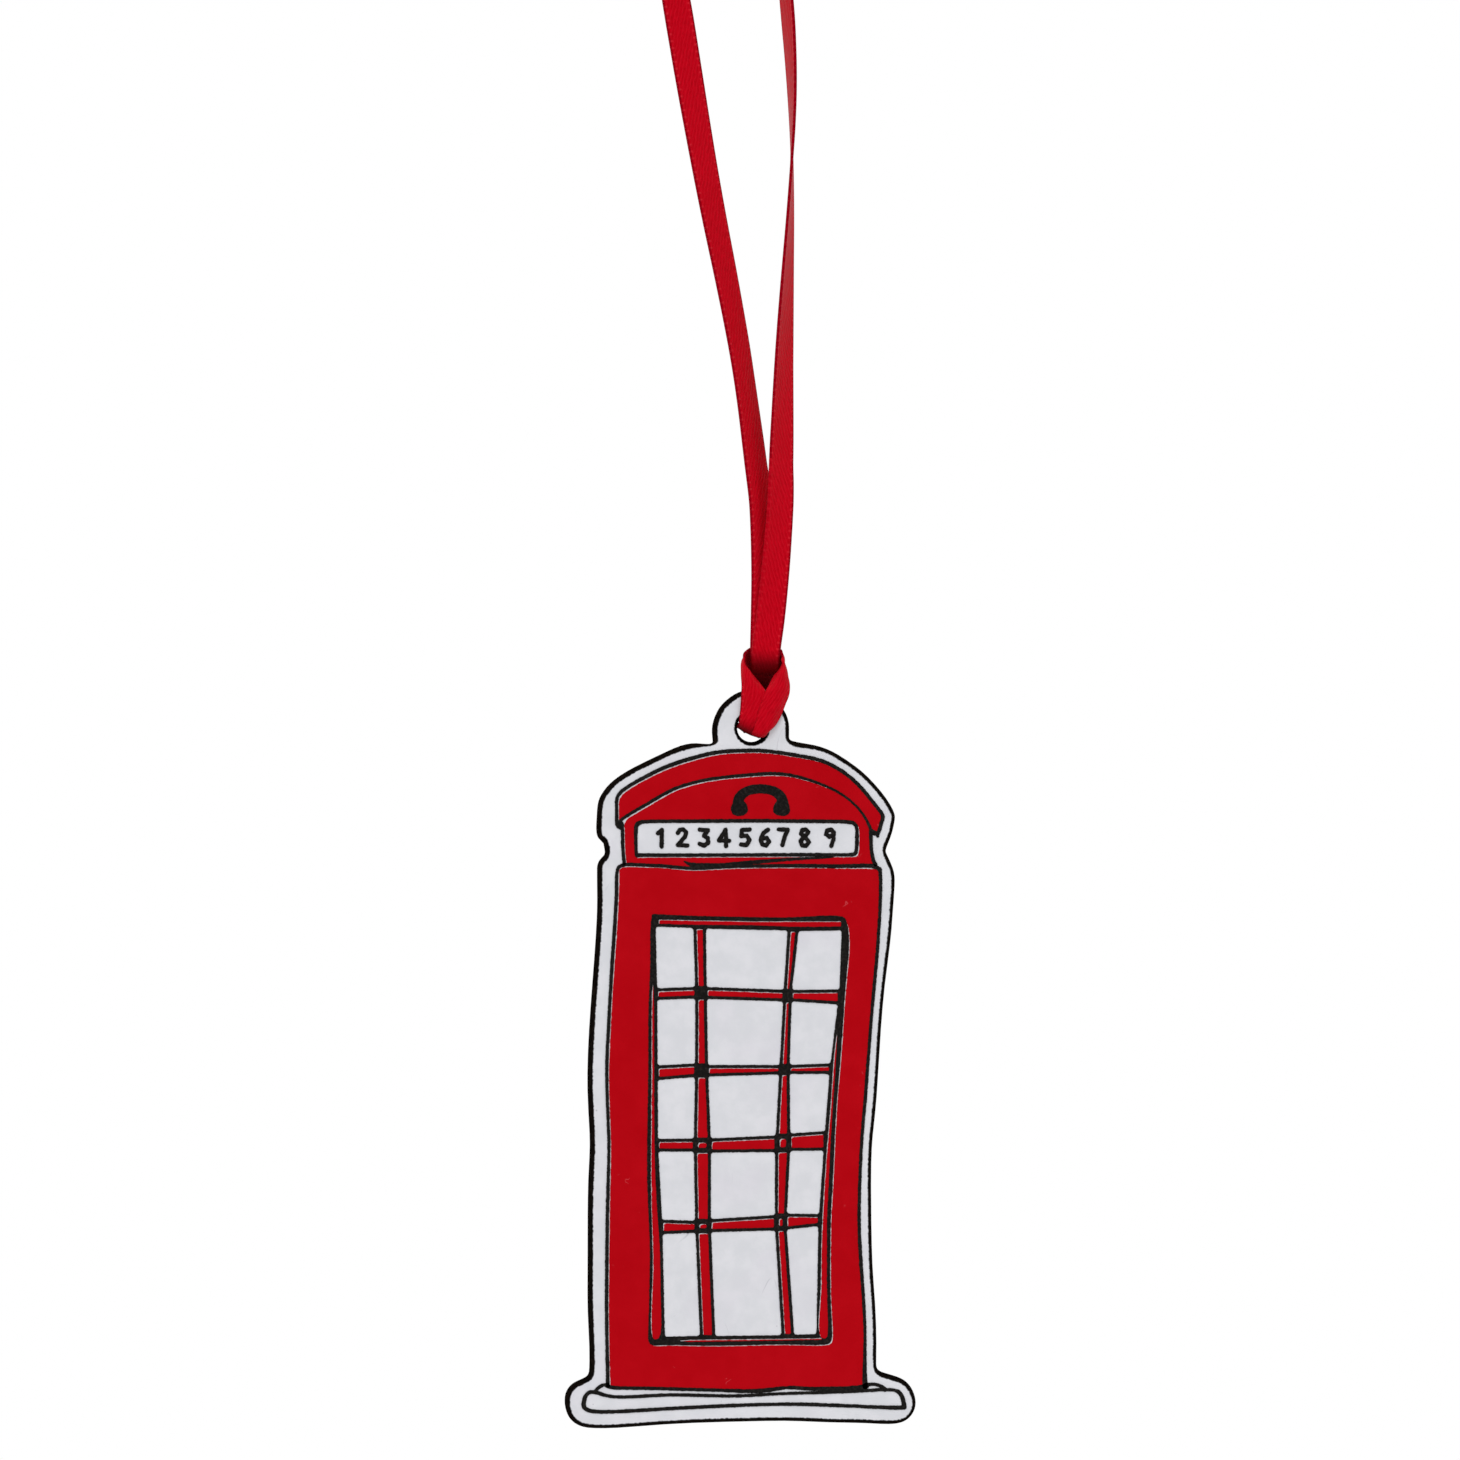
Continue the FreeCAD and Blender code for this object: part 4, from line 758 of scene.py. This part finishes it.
def make_hitch():
    """A smooth surface through the rows, with small wrinkles along the ribbon."""
    wrinkle_depth, wrinkle_rate, wrinkle_rate_up = 0.07 * MM, 1.6, 0.55
    cage = np.array([[from_hole(*point) for point in row] for row in HITCH_ROWS], float)
    rows = catmull_rom(cage, 10)
    grid = catmull_rom(rows.transpose(1, 0, 2), 6).transpose(1, 0, 2)
    wrinkle = np.zeros(grid.shape[:2])
    for station in range(grid.shape[0]):
        for column in range(grid.shape[1]):
            spot = Vector(grid[station, column]) / MM
            place = (spot.x * wrinkle_rate, spot.y * wrinkle_rate, spot.z * wrinkle_rate_up)
            wrinkle[station, column] = noise.noise(Vector(place))
    normals = unit(np.cross(np.gradient(grid, axis=0), np.gradient(grid, axis=1)))
    grid = grid + normals * wrinkle[:, :, None] * wrinkle_depth
    # Painted shade, row by row: in the hole and round behind the neck.
    places, darkness = zip(*HITCH_FOLD_SHADES)
    fold_shade = np.interp(np.linspace(0, len(HITCH_ROWS) - 1, len(grid)), places, darkness)
    # The inner edge, where the two limbs overlap, gets no painted edge shade and no edge loops.
    piece = ribbon_solid("ribbon_hitch", grid[:, ::-1], fold_shade=fold_shade, edging=(0.0, 1.0))
    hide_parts("hitch_front_band", "hitch_through", "hitch_collar")
    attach(piece, "hitch")


make_hitch()


# ---------------------------------------------------------------------------------------------------
# Prints: each film of ink has the CAD film's outline, with the slightly rough edge of a screen print
# ---------------------------------------------------------------------------------------------------
PRINT_STEP = 0.1 * MM           # from point to point of an ink's outline
RED_REACH, RED_SPREAD = 0.045 * MM, 0.05 * MM
BLACK_REACH, BLACK_SPREAD = 0.05 * MM, 0.03 * MM
GROUND_STEP, GROUND_REACH, GROUND_SEED = 0.14 * MM, 0.03 * MM, 3
RED_SEED, BLACK_SEED = 1, 11


def front_outlines(node):
    """The closed outlines of a film's front face, as lists of (x, z)."""
    data = frame["nodes"][node].data
    spots = [(round(v.co.x, 7), round(v.co.z, 7)) for v in data.vertices]
    uses = {}
    for polygon in data.polygons:
        if polygon.normal.y > -0.9:
            continue
        corners = [spots[index] for index in polygon.vertices]
        for start, end in zip(corners, corners[1:] + corners[:1]):
            if start != end:
                uses[(start, end)] = uses.get((start, end), 0) + 1
    after = {}
    for start, end in uses:
        if (end, start) not in uses:
            after.setdefault(start, []).append(end)
    outlines = []
    while after:
        first = next(iter(after))
        outline, spot = [], first
        while spot in after:
            outline.append(spot)
            following = after[spot].pop()
            if not after[spot]:
                del after[spot]
            spot = following
        if len(outline) > 2:
            outlines.append(np.array(outline))
    return outlines


def resampled(outline, step):
    """A closed outline's points again, at even distances."""
    closed = np.concatenate([outline, outline[:1]])
    run = np.concatenate([[0], np.cumsum(np.linalg.norm(np.diff(closed, axis=0), axis=1))])
    count = max(int(round(run[-1] / step)), 8)
    at = np.linspace(0, run[-1], count, endpoint=False)
    return np.stack([np.interp(at, run, closed[:, axis]) for axis in range(2)], axis=1)


def inward(outline):
    """Unit normals to the left of a closed outline's direction, which is where the film is."""
    forward = unit(np.roll(outline, -1, axis=0) - np.roll(outline, 1, axis=0))
    return np.stack([-forward[:, 1], forward[:, 0]], axis=1)


def roughened(outline, step, reach, seed, spread=0.0):
    """The outline with waves of about this reach, and moved outwards by the spread of the ink."""
    coarse_rate, coarse_part, fine_rate, fine_seed = 1.7, 0.6, 6.5, 20
    outline = resampled(outline, step)
    normals = inward(outline)
    shifts = []
    for across, up in outline / MM:
        coarse = noise.noise(Vector((across * coarse_rate, up * coarse_rate, seed)))
        fine = noise.noise(Vector((across * fine_rate, up * fine_rate, seed + fine_seed)))
        shifts.append(coarse * coarse_part + fine)
    return outline + normals * (np.array(shifts) * reach - spread)[:, None]


def is_inside(spots, outlines):
    """Which spots the outlines wind round, tested along a line to the right of each."""
    starts = np.concatenate(outlines)
    ends = np.concatenate([np.roll(outline, -1, axis=0) for outline in outlines])
    rise = ends[:, 1] - starts[:, 1]
    lean = (ends[:, 0] - starts[:, 0]) / np.where(rise == 0, 1.0, rise)
    winding = []
    batch = 400
    for some in np.array_split(spots, len(spots) // batch + 1):
        across, up = some[:, :1], some[:, 1:]
        crossed = (starts[:, 1] <= up) != (ends[:, 1] <= up)
        crossed &= starts[:, 0] + (up - starts[:, 1]) * lean > across
        winding.append(crossed @ np.sign(rise))
    return np.concatenate(winding) > 0.5


def filled(name, outlines, low, high):
    """A flat solid between two depths, with the outlines as its edges and holes."""
    outlines = [outline / MM for outline in outlines]
    corners, edges = [], []
    for outline in outlines:
        base, count = len(corners), len(outline)
        corners += [Vector(point) for point in outline.tolist()]
        edges += [(base + index, base + (index + 1) % count) for index in range(count)]
    all_triangles, nearest = 0, 0.0001
    spots, _, faces, *_ = geometry.delaunay_2d_cdt(corners, edges, [], all_triangles, nearest, False)
    spots, faces = np.array([tuple(spot) for spot in spots]), np.array(faces)
    faces = faces[is_inside(spots[faces].mean(axis=1), outlines)]
    sides = {(start, end) for face in faces.tolist() for start, end in zip(face, face[1:] + face[:1])}
    count = len(spots)
    walls = [(end, start, start + count, end + count) for start, end in sorted(sides)
             if (end, start) not in sides]
    vertices = [(across * MM, depth, up * MM) for depth in (low, high) for across, up in spots]
    mesh = bpy.data.meshes.new(name)
    mesh.from_pydata(vertices, [], faces.tolist() + (faces[:, ::-1] + count).tolist() + walls)
    mesh.validate()
    mesh.update()
    return mesh


def show(mesh, material, node):
    mesh.materials.append(material)
    piece = bpy.data.objects.new("print_" + node, mesh)
    bpy.context.scene.collection.objects.link(piece)
    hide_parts(node)
    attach(piece, "plate")


def make_print(node, material, reach, seed, spread):
    low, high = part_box(node)
    outlines = [roughened(outline, PRINT_STEP, reach, seed, spread) for outline in front_outlines(node)]
    show(filled(node, outlines, low.y, high.y), material, node)


def make_ground_coat():
    """The ground's rim is drawn as narrow rings, so that the scorch can fade from it."""
    low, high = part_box("ground_coat")
    rings = (0.0, 0.06, 0.14, 0.24, 0.36)       # mm inwards from the edge
    rough = [roughened(outline, GROUND_STEP, GROUND_REACH, GROUND_SEED)
             for outline in front_outlines("ground_coat")]
    vertices, faces, rims, inner = [], [], [], []
    for outline in rough:
        normals = inward(outline)
        loops = [outline + normals * (ring * MM) for ring in rings]
        base, count = len(vertices), len(outline)
        for ring, loop in zip(rings, loops):
            vertices += [(across, low.y, up) for across, up in loop]
            rims += [1 - ring / rings[-1]] * count
        for ring in range(len(rings) - 1):
            for index in range(count):
                after = (index + 1) % count
                start = base + ring * count
                faces.append((start + index, start + after, start + count + after, start + count + index))
        inner.append(loops[-1])
    middle = filled("ground_coat", inner, low.y, high.y)
    sheet = bpy.data.meshes.new("ground_rim")
    sheet.from_pydata(vertices, [], faces)
    sheet.attributes.new("rim", "FLOAT", "POINT").data.foreach_set("value", rims)
    sheet.update()
    show(middle, ground_paint, "ground_coat")
    rim = bpy.data.objects.new("print_ground_rim", sheet)
    sheet.materials.append(ground_paint)
    bpy.context.scene.collection.objects.link(rim)
    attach(rim, "plate")


make_ground_coat()
RED_NODES = ("roof_red", "fascia_red", "body_red", "glazing_bars_red")
BLACK_NODES = ("roof_lines", "body_lines", "plinth_lines", "sign_frame", "window_lattice", "sign_digits",
               "handset_emblem")
for seed, node in enumerate(RED_NODES, start=RED_SEED):
    make_print(node, red_paint, RED_REACH, seed, RED_SPREAD)
for seed, node in enumerate(BLACK_NODES, start=BLACK_SEED):
    make_print(node, black_paint, BLACK_REACH, seed, BLACK_SPREAD)

board = frame["nodes"]["board"]
board.data.materials.clear()
board.data.materials.append(fibreboard)
